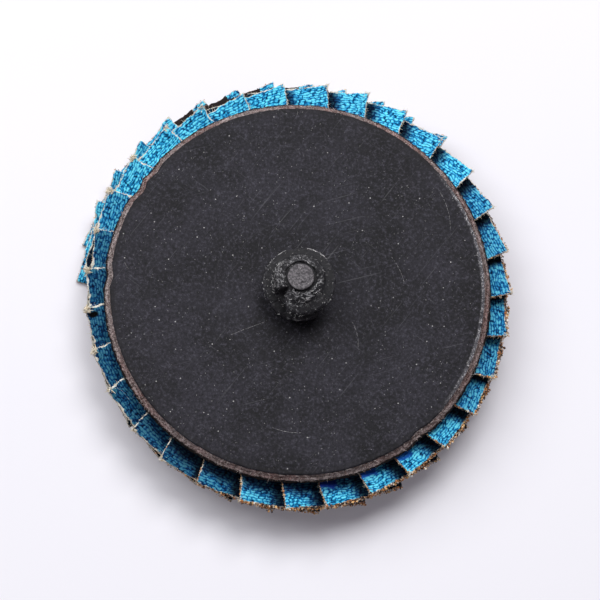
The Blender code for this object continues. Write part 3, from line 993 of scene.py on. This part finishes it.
def edge_grains(shape, flap, draws, count, largest, furthest, climb=0.0):
    """Grains that show along the lower half of the cut edges and climb over the cloth by a share."""
    across, along, on_side = edge_spots(flap, draws, count, GRAINS_ON_SIDE, UPPER_SHOWN_FROM)
    below = FLAP_THICKNESS * draws.uniform(CLOTH_SHARE - 0.12 - climb, 1.12, count)
    out = np.where(on_side, 0.05 * MM, furthest) * draws.random(count) ** 1.5
    centres = flap.place(across + out * on_side, along + out * ~on_side, below)
    sizes = largest * (0.25 + 0.75 * draws.random(count) ** 3)
    crystals(shape, CRUMB, centres, sizes, draws.random(count) ** 1.2, draws)


def fine_towards(first, fine_from, last, coarse, step):
    """Distances from first to last: a few where the flap is covered, and even small steps where it shows."""
    count = round((last - fine_from) / step)
    return np.concatenate([np.linspace(first, last - count * step, coarse, endpoint=False),
                           last - step * np.arange(count, -1, -1)])


def corner_tuft(shape, flap, draws, count, stout):
    """Loose ends that gather at the outer clockwise corner, where the cloth frays first."""
    for _ in range(count):
        across = flap.half - 0.5 * MM * draws.random() ** 2
        along = flap.outer - 0.5 * MM * draws.random() ** 2
        start = flap.place(np.array([across]), np.array([along]), draws.uniform(0.0, 0.25) * MM)[0]
        ahead = flap.place(np.array([across + 0.2 * MM]), np.array([along + 0.15 * MM]), 0.0)[0]
        aim = (ahead - start) / np.linalg.norm(ahead - start) + draws.normal(scale=0.8, size=3)
        length = TUFT_LENGTH * draws.uniform(0.3, 1.0)
        fibre(shape, YARN, start, aim, length, stout * draws.uniform(0.03, 0.06) * MM,
              draws.normal(scale=0.4, size=3))


def laid_flap(index):
    draws = np.random.default_rng(SEED + index)
    corner = upper_corner(index)
    reach = upper_reach(corner) + draws.uniform(-UPPER_UNEVEN, UPPER_UNEVEN)
    return Flap(corner + draws.uniform(-UPPER_ASKEW, UPPER_ASKEW), UPPER_INNER, reach, UPPER_TOP, UPPER_RISE,
                UPPER_CURL, draws.uniform(*UPPER_SPRUNG))


def share_near(corner, middle, outer, inner):
    """1 within the inner distance of an angle, 0 beyond the outer one."""
    return smooth(outer, inner, abs(angle_gap(corner, middle)))


def painted_shadow_reach(corner):
    """How far the painted shadow spreads from the lifted edge that ends at this angle."""
    return max(reach * share_near(corner, middle, half, 0.4 * half) for middle, half, reach in PAINTED_SHADOW_TUCKS)


# Painted shade: how much darker the cloth of a flap at this angle is painted.
def painted_shade_tone(corner):
    tone = 1.0
    for middle, half, lost in PAINTED_SHADE_STRETCHES:
        tone *= 1.0 - lost * share_near(corner, middle, half, 0.5 * half)
    return tone


def clumps(shape, flap, draws, pitch):
    """Grains that hang in clumps from the outer edge, where the flap is the one on top."""
    for angle, out, size, number in CLUMPS:
        turn = math.radians(angle_gap(angle, flap.middle))
        across = flap.outer * math.tan(turn) if abs(turn) < 0.5 * math.pi else math.inf
        if not flap.half - flap.outer * math.radians(pitch) < across <= flap.half:
            continue
        spots = draws.normal(scale=0.5, size=(number, 3)) * size
        shares = np.sqrt(draws.random(number))
        centres = flap.place(across + spots[:, 0], flap.outer + out * shares + spots[:, 1],
                             (0.4 + 0.8 * shares) * FLAP_THICKNESS + spots[:, 2])
        crystals(shape, CRUMB, centres, size * draws.uniform(0.5, 1.0, number), draws.random(number), draws)


def no_resin(s, t):
    return np.zeros(len(s), bool)


def upper_flap(index, flap, before, materials):
    draws = np.random.default_rng(SEED + 200 + index)
    corner = upper_corner(index)
    glued = share_near(corner, *GLUE)
    gritty = share_near(corner, *GRIT)
    frayed = share_near(corner, *FRAYED)
    shadow_reach = painted_shadow_reach(upper_corner(index - 1)) + 1e-3 * MM
    is_torn = abs(angle_gap(corner, TORN_ANGLE)) < 180.0 / UPPER_FLAPS
    rim_shadow_middle, rim_shadow_half, rim_shadow_reach = PAINTED_RIM_SHADOW
    rim_shadow = PAINTED_RIM_SHADOW_DARK * share_near(corner, rim_shadow_middle, rim_shadow_half, 0.4 * rim_shadow_half)

    def soak(s, t, top):
        radius = np.hypot(s, t)
        edge = GLUE_RADIUS + 0.3 * MM * soft_noise(top, 0.8 * MM, index)
        return glued * smooth(edge, edge - 0.25 * MM, radius) * smooth(2.4 * MM, 3.0 * MM, s)

    def shade(s, t, key):
        # Painted shadow that the previous flap's lifted edge casts on this cloth.
        past = flap.beyond(before, s, t) + 0.15 * MM * soft_noise(key, 0.5 * MM, index)
        dark = PAINTED_SHADOW_DARK * smooth(1.5 * shadow_reach, 0.35 * shadow_reach, past)
        # Painted shadow that the plate's rim casts on this cloth.
        radius = np.hypot(s, t) + 0.25 * MM * soft_noise(key, 0.6 * MM, index + 40)
        under_rim_shadow = smooth(PLATE_RADIUS + 1.8 * rim_shadow_reach, PLATE_RADIUS + 0.5 * rim_shadow_reach, radius)
        dark = np.maximum(dark, rim_shadow * under_rim_shadow)
        # Painted shade for the torn corner's hole, on uncut cloth.
        if is_torn:
            hole = np.hypot((flap.half - s - TORN_SPOT[0]) / TORN_STRETCH[0],
                            (flap.outer - t - TORN_SPOT[1]) / TORN_STRETCH[1])
            dark = np.maximum(dark, smooth(TORN_RADIUS, TORN_RADIUS / 1.5, hole))
        return 1.0 - dark

    traits = {
        "seed": index + 1,
        # A random tone times the painted shade at this angle.
        "tone": draws.uniform(0.9, 1.06) * painted_shade_tone(corner),
        "soak": soak,
        "shade": shade,
        "resin": no_resin,
        "bands": (0.22, 0.5, 0.78),
        "frayed": (0.12 + 0.24 * frayed - 0.42 * gritty) * MM,
        "cloth_share": CLOTH_SHARE * (1.0 - 0.5 * gritty),
    }
    across = fine_towards(-flap.half, SHOWN_ACROSS, flap.half, 8, 0.2 * FLOAT)
    along = fine_towards(UPPER_INNER, UPPER_FINE_FROM, flap.outer, 6, ROW / 3.0)
    shape = Shape()
    slab(shape, flap, across, along, traits)
    fray(shape, flap, draws, FRAYED_ENDS, UPPER_SHOWN_FROM, UPPER_FRAY)
    ends = int(draws.integers(12, 34) * (1.0 + 1.8 * frayed + 3.0 * is_torn))
    corner_tuft(shape, flap, draws, ends, 1.0 + 1.3 * frayed)
    edge_grains(shape, flap, draws, int(UPPER_GRAINS[0] + UPPER_GRAINS[1] * gritty),
                (0.10 + 0.12 * gritty) * MM, (0.07 + 0.26 * gritty) * MM, 0.6 * gritty)
    clumps(shape, flap, draws, angle_gap(flap.middle, before.middle))
    name = f"flap_{index + 1:02d}"
    return shape.build(name + "_cloth", materials, [name])


def lower_flap(index, materials):
    draws = np.random.default_rng(SEED + 100 + index)
    corner = lower_corner(index)
    reach = lower_reach(corner) + draws.uniform(*LOWER_UNEVEN)
    soaked = abs(angle_gap(corner, SOAK_MIDDLE)) < SOAK_HALF
    flap = Flap(corner + draws.uniform(-LOWER_ASKEW, LOWER_ASKEW), LOWER_INNER, reach, LOWER_TOP, LOWER_RISE,
                LOWER_CURL, draws.uniform(*LOWER_SPRUNG), LOWER_WEDGE, float(soaked))

    def resin(s, t):
        uneven = rough(np.stack([s, t, s], axis=1), index, SOAK_UNEVEN)
        return ((flap.half - s > SOAK_TIP + uneven) | (flap.outer - t > SOAK_END + uneven)) & soaked

    traits = {
        "seed": 60 + index,
        "tone": draws.uniform(0.85, 1.0),
        "soak": lambda s, t, top: np.zeros_like(s),
        "shade": lambda s, t, key: np.ones_like(s),
        "resin": resin,
        "bands": (0.25, 0.5, 0.75),
        "frayed": 0.12 * MM,
        "cloth_share": CLOTH_SHARE,
    }
    across = fine_towards(-flap.half, SHOWN_ACROSS, flap.half, 8, 0.25 * FLOAT)
    along = fine_towards(LOWER_INNER, LOWER_SHOWN_FROM, flap.outer, 5, 0.5 * ROW)
    shape = Shape()
    slab(shape, flap, across, along, traits)
    fray(shape, flap, draws, LOWER_FRAYED_ENDS, LOWER_SHOWN_FROM, LOWER_FRAY)
    edge_grains(shape, flap, draws, LOWER_GRAINS, LOWER_GRAIN_SIZE, LOWER_GRAIN_OUT)
    return shape.build(f"lower_flap_{index + 1:02d}", materials, ["lower_flap_row"])


# Turned pieces


def chip_bite(degrees):
    """How far the rim is broken in at each angle."""
    bite = np.zeros_like(degrees)
    for angle, half_width, depth in RIM_CHIPS:
        share = np.minimum(1.0, np.abs(angle_gap(degrees, angle)) / half_width)
        bite += depth * (0.5 + 0.5 * np.cos(math.pi * share))
    return bite


def scale_radius(points, radius):
    """Moves points in or out so that they lie at that radius."""
    old = np.hypot(points[:, 0], points[:, 1])
    moved = points.copy()
    moved[:, :2] *= (radius / old)[:, None]
    return moved


def closed_ring(name, profile, segments, deform, materials, replaced, wear_at=None):
    """A turned piece whose profile is a closed loop round the axis."""
    points, degrees = turned(profile, segments)
    wear = None if wear_at is None else wear_at(points, degrees)
    points = deform(points, degrees)
    faces = ring_faces(segments, len(profile))
    last = (len(profile) - 1) * segments
    step = np.arange(segments)
    after = (step + 1) % segments
    seam = np.stack([last + step, last + after, after, step], axis=1)
    shape = Shape()
    shape.add(points, np.concatenate([faces, seam]), 0, wear=wear)
    return shape.build(name, materials, replaced)


def face_sheet(material):
    rim = FACE_ROUND
    profile = [(STUD_HOLE_RADIUS, FACE_TOP), (FACE_RADIUS - 1.5 * MM, FACE_TOP)]
    profile = resampled(profile, 0.45 * MM)
    profile += [(radius, FACE_TOP) for radius in np.linspace(FACE_RADIUS - 1.4 * MM, FACE_RADIUS - rim, 9)]
    for turn in (25.0, 50.0, 75.0, 90.0):
        bend = math.radians(turn)
        profile.append((FACE_RADIUS - rim + rim * math.sin(bend), FACE_TOP - rim + rim * math.cos(bend)))
    profile += [(radius, FACE_BOTTOM) for radius in (FACE_RADIUS, FACE_RADIUS - 1.0 * MM, STUD_HOLE_RADIUS)]

    def deform(points, degrees):
        radius = np.hypot(points[:, 0], points[:, 1])
        near_rim = smooth(FACE_RADIUS - 1.5 * MM, FACE_RADIUS - 0.2 * MM, radius)
        lost = chip_bite(degrees) + rough(points, 3, FACE_RIM_WORN)
        points = scale_radius(points, radius - near_rim * lost)
        on_top = points[:, 2] > FACE_TOP - 0.5 * rim
        worn = near_rim * 0.03 * MM * (1.0 + soft_noise(points, 0.6 * MM, 7))
        points[:, 2] -= on_top * (0.02 * MM + rough(points, 5, FACE_DENTS) + worn)
        return points

    def wear_at(points, degrees):
        radius = np.hypot(points[:, 0], points[:, 1])
        wear = np.zeros_like(points)
        # Painted highlight along the lifted edge, for the face's material.
        wear[:, 0] = lifted_share(degrees) * smooth(FACE_RADIUS - 0.40 * MM, FACE_RADIUS - 0.24 * MM, radius)
        return wear

    return closed_ring("face_sheet_worn", profile, FACE_STEPS, deform, [material],
                       ["face_sheet"], wear_at)


def plate_rim_layers():
    """Radius and height down the cut edge: matted layers between the face and the flaps."""
    rim_top = PLATE_RADIUS - PLATE_SLANT
    corners = [(rim_top, PLATE_TOP), (rim_top + PLATE_BREAK, PLATE_TOP - PLATE_BREAK_DROP),
               (PLATE_RADIUS, PLATE_BOTTOM + PLATE_LIP)]
    return resampled(corners, 0.07 * MM)


def backing_plate(material):
    seat = FACE_BOTTOM - 0.03 * MM
    profile = [(STUD_HOLE_RADIUS, PLATE_TOP), (FACE_RADIUS - 1.2 * MM, PLATE_TOP)]
    profile += resampled([(FACE_RADIUS - 0.9 * MM, seat), (FACE_RADIUS + 0.08 * MM, seat)], 0.07 * MM)
    profile += plate_rim_layers()
    profile += [(PLATE_RADIUS - 0.1 * MM, PLATE_BOTTOM), (PLATE_RADIUS - 0.8 * MM, PLATE_BOTTOM)]
    profile += [(radius, PLATE_BOTTOM) for radius in np.linspace(20.0 * MM, STUD_HOLE_RADIUS, 7)]

    def deform(points, degrees):
        radius = np.hypot(points[:, 0], points[:, 1])
        near_rim = smooth(FACE_RADIUS - 0.4 * MM, FACE_RADIUS + 0.2 * MM, radius)
        lifted = lifted_share(degrees)
        on_top = points[:, 2] > PLATE_TOP - 0.05 * MM
        gap = np.exp(-((radius - GAP_RADIUS) / GAP_HALF) ** 2)
        lip = np.exp(-((radius - LIP_RADIUS) / LIP_HALF) ** 2)
        out = 0.08 * MM * lifted + rough(points, 11, BOARD_MATTED) - chip_bite(degrees)
        out += rough(points * np.array([0.6, 0.6, 4.0]), 13, BOARD_SHELVES)
        points = scale_radius(points, radius + near_rim * out)
        points[:, 2] += near_rim * rough(points, 14, BOARD_ROUGH)
        points[:, 2] += lifted * on_top * (LIP_HEIGHT * lip - GAP_DEPTH * gap)
        return points

    def wear_at(points, degrees):
        radius = np.hypot(points[:, 0], points[:, 1])
        wear = np.zeros_like(points)
        facet_foot = PLATE_TOP - PLATE_BREAK_DROP
        # Painted shade for the wall below the facet.
        painted_wall_shade = smooth(facet_foot + 0.06 * MM, facet_foot - 0.03 * MM, points[:, 2])
        wear[:, 0] = painted_wall_shade * (radius > FACE_RADIUS)
        return wear

    return closed_ring("backing_plate_fibre", profile, PLATE_STEPS, deform, [material],
                       ["backing_plate"], wear_at)


def rim_fuzz(materials):
    """Torn fibres along the plate's cut edge, thicker in tufts."""
    draws = np.random.default_rng(SEED + 300)
    shape = Shape()
    for _ in range(RIM_FIBRES):
        degrees = draws.uniform(0.0, 360.0)
        share = draws.random()
        radius = PLATE_RADIUS - PLATE_SLANT + PLATE_BREAK * share
        height = PLATE_TOP - PLATE_BREAK_DROP * share
        if draws.random() < 0.35:
            radius = FACE_RADIUS + 0.06 * MM
            height = FACE_BOTTOM + draws.uniform(0.0, 0.12) * MM
        start = around(radius - chip_bite(np.array([degrees]))[0], degrees, height)
        along = around(1.0, degrees + 90.0, 0.0) * draws.choice((-1.0, 1.0))
        out = around(1.0, degrees, 0.55)
        aim = along * draws.uniform(0.2, 1.0) + out * draws.uniform(0.05, 0.7)
        aim = aim + draws.normal(scale=0.15, size=3)
        pale = draws.random()
        fibre(shape, int(pale > 0.55), start, aim, draws.uniform(*FUZZ_LENGTHS), draws.uniform(*FUZZ_RADII),
              draws.normal(scale=0.3, size=3))
    return shape.build("rim_fuzz", materials)


def thread_swell(degrees, height):
    """How far the thread stands out of the stud's root, from 0 to 1."""
    swell = np.zeros_like(degrees)
    length = 360.0 * THREAD_TURNS
    for extra in (0.0, 360.0):
        travel = (THREAD_START - degrees) % 360.0 + extra
        crest = FACE_TOP + THREAD_LOW + THREAD_LEAD * (THREAD_TURNS - travel / 360.0)
        ends = np.clip(np.minimum(travel, length - travel) / THREAD_RUNOUT, 0.0, 1.0)
        across = np.abs(height - crest) / THREAD_HALF_WIDTH
        flank = smooth(0.0, 1.0, 1.6 * (1.0 - across))
        swell = np.maximum(swell, np.where(travel <= length, ends * flank, 0.0))
    return swell


def stud_profile():
    """From near the middle of the tip, over the ring groove, down the side and under the flange."""
    shoulder = STUD_TOP - TIP_ROUND
    groove_outer = TIP_BOSS_RADIUS + TIP_GROOVE_WIDTH
    floor = STUD_TOP - TIP_GROOVE_DEPTH
    tip = [(0.05 * MM, STUD_TOP), (TIP_BOSS_RADIUS - 0.08 * MM, STUD_TOP),
           (TIP_BOSS_RADIUS, STUD_TOP - 0.06 * MM), (TIP_BOSS_RADIUS + 0.07 * MM, floor),
           (groove_outer, floor), (groove_outer + 0.08 * MM, STUD_TOP - 0.18 * MM),
           (TIP_RING_RADIUS, shoulder)]
    side = [(TIP_RING_RADIUS, shoulder), (STUD_ROOT_RADIUS, shoulder - 2.0 * MM),
            (STUD_ROOT_RADIUS, FACE_TOP + 0.15 * MM), (STUD_ROOT_RADIUS + 0.12 * MM, FACE_TOP)]
    foot = [(STUD_NECK_RADIUS, FACE_TOP - 0.1 * MM), (STUD_NECK_RADIUS, FLANGE_TOP),
            (FLANGE_RADIUS, FLANGE_TOP), (FLANGE_RADIUS, FLANGE_BOTTOM + 0.1 * MM),
            (FLANGE_RADIUS - 0.1 * MM, FLANGE_BOTTOM), (0.05 * MM, FLANGE_BOTTOM)]
    return resampled(tip, 0.09 * MM) + resampled(side, 0.075 * MM)[1:] + resampled(foot, 0.5 * MM)


def threaded_stud(material):
    profile = stud_profile()
    segments = 288
    points, degrees = turned(profile, segments)
    radius = np.hypot(points[:, 0], points[:, 1])
    height = points[:, 2].copy()
    side = (height > FACE_TOP + 0.02 * MM) & (height < STUD_TOP - 0.3 * MM)
    side &= radius > TIP_RING_RADIUS - 0.1 * MM
    key = around(4.0 * MM, degrees, height)
    ragged = 6.0 * soft_noise(key, 0.9 * MM, 21)
    swell = thread_swell(degrees + ragged, height + 0.06 * MM * soft_noise(key, 0.5 * MM, 22)) * side
    depth = THREAD_RADIUS - STUD_ROOT_RADIUS
    torn = 0.14 * MM * np.maximum(0.0, soft_noise(key, 0.45 * MM, 23))
    torn += 0.06 * MM * soft_noise(key, 0.22 * MM, 24)
    notch = NOTCH_DEPTH * smooth(NOTCH_HALF, 0.3 * NOTCH_HALF, np.abs(angle_gap(degrees, NOTCH_ANGLE)))
    notch = notch * smooth(STUD_TOP - NOTCH_DROP, STUD_TOP - NOTCH_DROP + 0.4 * MM, height)
    above = (height > FACE_TOP).astype(float)
    outside = radius > TIP_BOSS_RADIUS + TIP_GROOVE_WIDTH
    out = depth * swell - torn * above * side * (0.4 + swell) - notch * outside
    points = scale_radius(points, radius + out)
    flat_top = smooth(STUD_TOP - 0.7 * MM, STUD_TOP - 0.4 * MM, height)
    scar = 0.10 * MM * np.abs(soft_noise(points, 0.6 * MM, 25))
    scar += 0.05 * MM * soft_noise(points, 0.22 * MM, 26)
    points[:, 2] -= flat_top * (scar * (1.0 + outside) + 0.05 * MM)
    boss = radius < TIP_BOSS_RADIUS
    wear = np.zeros_like(points)
    wear[:, 0] = boss * (height > STUD_TOP - 0.1 * MM)
    # The crest's share, for its rub and its painted highlight.
    wear[:, 1] = smooth(0.75, 1.0, swell)
    wear[:, 2] = outside * smooth(STUD_TOP - 2.2 * MM, STUD_TOP - 0.5 * MM, height)
    shape = Shape()
    shape.add(points, ring_faces(segments, len(profile)), 0, wear=wear)
    shape.cap(0, segments, 0, True)
    shape.cap(shape.count - segments, shape.count, 0)
    return shape.build("threaded_stud_scuffed", [material], ["threaded_stud"])


def crest_height(degrees):
    """Height of the thread's crest on its first turn from the top."""
    travel = (THREAD_START - degrees) % 360.0
    return FACE_TOP + THREAD_LOW + THREAD_LEAD * (THREAD_TURNS - travel / 360.0)


def stud_scuffs(nub, material):
    """Slivers of nylon that knocks have raised on the stud, and white lines on its crest that are painted
    highlights.
    """
    draws = np.random.default_rng(SEED + 600)
    points = np.array([vertex.co for vertex in nub.data.vertices])
    radius = np.hypot(points[:, 0], points[:, 1])
    degrees = np.degrees(np.arctan2(points[:, 0], points[:, 1])) % 360.0
    rubbed = np.zeros(len(points))
    for middle, half in SCUFFED:
        rubbed = np.maximum(rubbed, smooth(half, 0.3 * half, np.abs(angle_gap(degrees, middle))))
    shown = (points[:, 2] > FACE_TOP + 2.0 * MM) & (radius > TIP_BOSS_RADIUS + TIP_GROOVE_WIDTH)
    chance = shown * (0.12 + rubbed)
    shape = Shape()
    for number in draws.choice(len(points), STUD_SCUFFS, p=chance / chance.sum()):
        along = around(1.0, degrees[number] + 90.0 + draws.normal(scale=35.0), draws.normal(scale=0.25))
        start = points[number] + around(0.015 * MM, degrees[number], 0.015 * MM)
        fibre(shape, 0, start, along, draws.uniform(*SCUFF_LENGTHS), draws.uniform(*SCUFF_RADII))
    # Painted highlight: white slivers along the crest where the lamps glint.
    for first, last in HIGHLIGHT_CRESTS:
        for at in np.arange(first, last, CREST_STEP):
            rim = THREAD_RADIUS - draws.uniform(0.0, 0.10) * MM
            start = around(rim, at, crest_height(at) + draws.uniform(0.30, 0.42) * MM)
            end = around(rim, at + CREST_SPAN, crest_height(at + CREST_SPAN) + 0.36 * MM)
            fibre(shape, 0, start, end - start, math.dist(start, end), draws.uniform(*CREST_RADII))
    return shape.build("stud_scuffs", [material])


def resin_bed(material):
    profile = [(BED_BORE, BED_TOP), (BED_CORE_RADIUS, BED_TOP), (BED_CORE_RADIUS, BED_FOOT_TOP),
               (BED_FOOT_RADIUS, BED_FOOT_TOP), (BED_FOOT_RADIUS, BED_LIFT), (BED_BORE, BED_LIFT)]
    profile = resampled(profile, 0.6 * MM)

    def deform(points, degrees):
        lumps = rough(points, 31, BED_LUMPS)
        radius = np.hypot(points[:, 0], points[:, 1])
        points = scale_radius(points, radius + lumps * (radius < BED_CORE_RADIUS + 0.1 * MM))
        points[:, 2] += lumps * (points[:, 2] < BED_TOP - 0.3 * MM)
        return points

    return closed_ring("resin_bed", profile, 240, deform, [material], ["lower_flap_row"])


# Dirt and scratches on the face


def dust(material):
    draws = np.random.default_rng(SEED + 400)
    shape = Shape()
    radii = FACE_RADIUS * np.sqrt(draws.uniform(0.03, 0.97, DUST_SPECKS))
    degrees = draws.uniform(0.0, 360.0, DUST_SPECKS)
    sizes = (0.022 + 0.05 * draws.random(DUST_SPECKS) ** 4) * MM
    centres = around(radii, degrees, FACE_TOP - 0.01 * MM)
    crystals(shape, 0, centres, sizes, draws.uniform(0.8, 1.0, DUST_SPECKS), draws)
    return shape.build("face_dust", [material])


def scratch_burrs(material):
    """Raised burrs beside the face's larger scratches: broken, tapered slivers."""
    draws = np.random.default_rng(SEED + 500)
    shape = Shape()
    for start, end, bow in SCRATCHES:
        first, last = np.array(start) * MM, np.array(end) * MM
        way = last - first
        side = np.array([-way[1], way[0]]) / np.linalg.norm(way)
        pieces = max(3, round(np.linalg.norm(way) / BURR_SPACING))
        for piece in range(pieces):
            share = (piece + draws.uniform(0.0, 0.6)) / pieces
            middle = first + way * share + side * bow * MM * 4.0 * share * (1.0 - share)
            at = np.array([*middle, FACE_TOP - 0.02 * MM])
            aim = np.array([*(way / np.linalg.norm(way) + side * bow * (1.0 - 2.0 * share)), 0.0])
            fibre(shape, 0, at, aim, draws.uniform(*BURR_LENGTHS), draws.uniform(*BURR_RADII))
    return shape.build("face_scratches", [material])


# Stage


def floor():
    mesh = bpy.data.meshes.new("floor")
    square = ((-1, -1), (1, -1), (1, 1), (-1, 1))
    corners = [(FLOOR_HALF * x, FLOOR_HALF * y, FLOOR_LEVEL) for x, y in square]
    mesh.from_pydata(corners, [], [(0, 1, 2, 3)])
    mesh.materials.append(pale_floor())
    obj = bpy.data.objects.new("floor", mesh)
    bpy.context.scene.collection.objects.link(obj)


def camera():
    sine, cosine = math.sin(math.radians(TILT)), math.cos(math.radians(TILT))
    back = Vector((LEAN[0] * sine, LEAN[1] * sine, cosine)).normalized()
    right = Vector((0.0, 1.0, 0.0)).cross(back).normalized()
    up = back.cross(right)
    aim = Vector((0.0, 0.0, FACE_TOP)) + right * AIM_RIGHT + up * AIM_UP
    data = bpy.data.cameras.new("camera")
    data.sensor_width = SENSOR
    data.lens = SENSOR * FOCAL_PIXELS / IMAGE_PIXELS
    obj = bpy.data.objects.new("camera", data)
    turn = Matrix((right, up, back)).transposed().to_4x4()
    obj.matrix_world = Matrix.Translation(aim + back * DISTANCE) @ turn
    bpy.context.scene.collection.objects.link(obj)
    bpy.context.scene.camera = obj


def lamp(name, degrees, elevation, size, power, colour):
    data = bpy.data.lights.new(name, "AREA")
    data.shape = "DISK"
    data.size = size
    data.energy = power
    data.color = colour
    obj = bpy.data.objects.new(name, data)
    rise = math.radians(elevation)
    at = Vector(around(math.cos(rise), degrees, math.sin(rise)).tolist()) * LAMP_DISTANCE
    obj.matrix_world = Matrix.Translation(at) @ at.to_track_quat("Z", "Y").to_matrix().to_4x4()
    bpy.context.scene.collection.objects.link(obj)


def world():
    made = bpy.data.worlds.new("studio")
    made.use_nodes = True
    nodes, links = made.node_tree.nodes, made.node_tree.links
    ray = nodes.new("ShaderNodeLightPath")
    plain = nodes["Background"]
    plain.inputs["Color"].default_value = WORLD_COLOUR
    plain.inputs["Strength"].default_value = WORLD_STRENGTH
    white = nodes.new("ShaderNodeBackground")
    white.inputs["Color"].default_value = BACKDROP
    choose = nodes.new("ShaderNodeMixShader")
    links.new(ray.outputs["Is Camera Ray"], choose.inputs[0])
    links.new(plain.outputs[0], choose.inputs[1])
    links.new(white.outputs[0], choose.inputs[2])
    links.new(choose.outputs[0], nodes["World Output"].inputs["Surface"])
    bpy.context.scene.world = made


def dress():
    twill = blue_twill()
    edge = cut_cloth()
    grain = grain_coat("grain_coat", (0.20, 0.088, 0.040), 0.45)
    yarn = fine_fibre("cream_yarn", (0.93, 0.90, 0.80), (0.66, 0.52, 0.34))
    crumbs = loose_grain()
    soaked = dark_resin("soaked_cloth", (0.009, 0.004, 0.004), (0.018, 0.009, 0.009), 0.85)
    flap_materials = [twill, edge, grain, yarn, crumbs, soaked]   # numbered as CLOTH to SOAKED
    laid = [laid_flap(index) for index in range(UPPER_FLAPS)]
    for index, flap in enumerate(laid):
        upper_flap(index, flap, laid[index - 1], flap_materials)
    for index in range(LOWER_FLAPS):
        lower_flap(index, flap_materials)
    resin_bed(dark_resin("bed_resin", (0.030, 0.016, 0.010), (0.075, 0.040, 0.022), 0.45))
    face_sheet(charcoal_face())
    backing_plate(brown_board())
    rim_fuzz([fine_fibre("brown_fuzz", (0.26, 0.16, 0.14), (0.10, 0.06, 0.05)),
              fine_fibre("pale_fuzz", (0.74, 0.66, 0.64), (0.36, 0.28, 0.27))])
    nub = threaded_stud(black_nylon())
    stud_scuffs(nub, fine_fibre("scuff_and_highlight_white", (0.80, 0.79, 0.80), (0.34, 0.33, 0.35)))
    dust(fine_fibre("dust_white", (0.62, 0.61, 0.60), (0.34, 0.33, 0.33)))
    scratch_burrs(fine_fibre("scratch_grey", (0.40, 0.39, 0.40), (0.20, 0.195, 0.20)))


bpy.context.scene.view_settings.view_transform = "Standard"
dress()
floor()
camera()
world()
for each in LAMPS:
    lamp(*each)
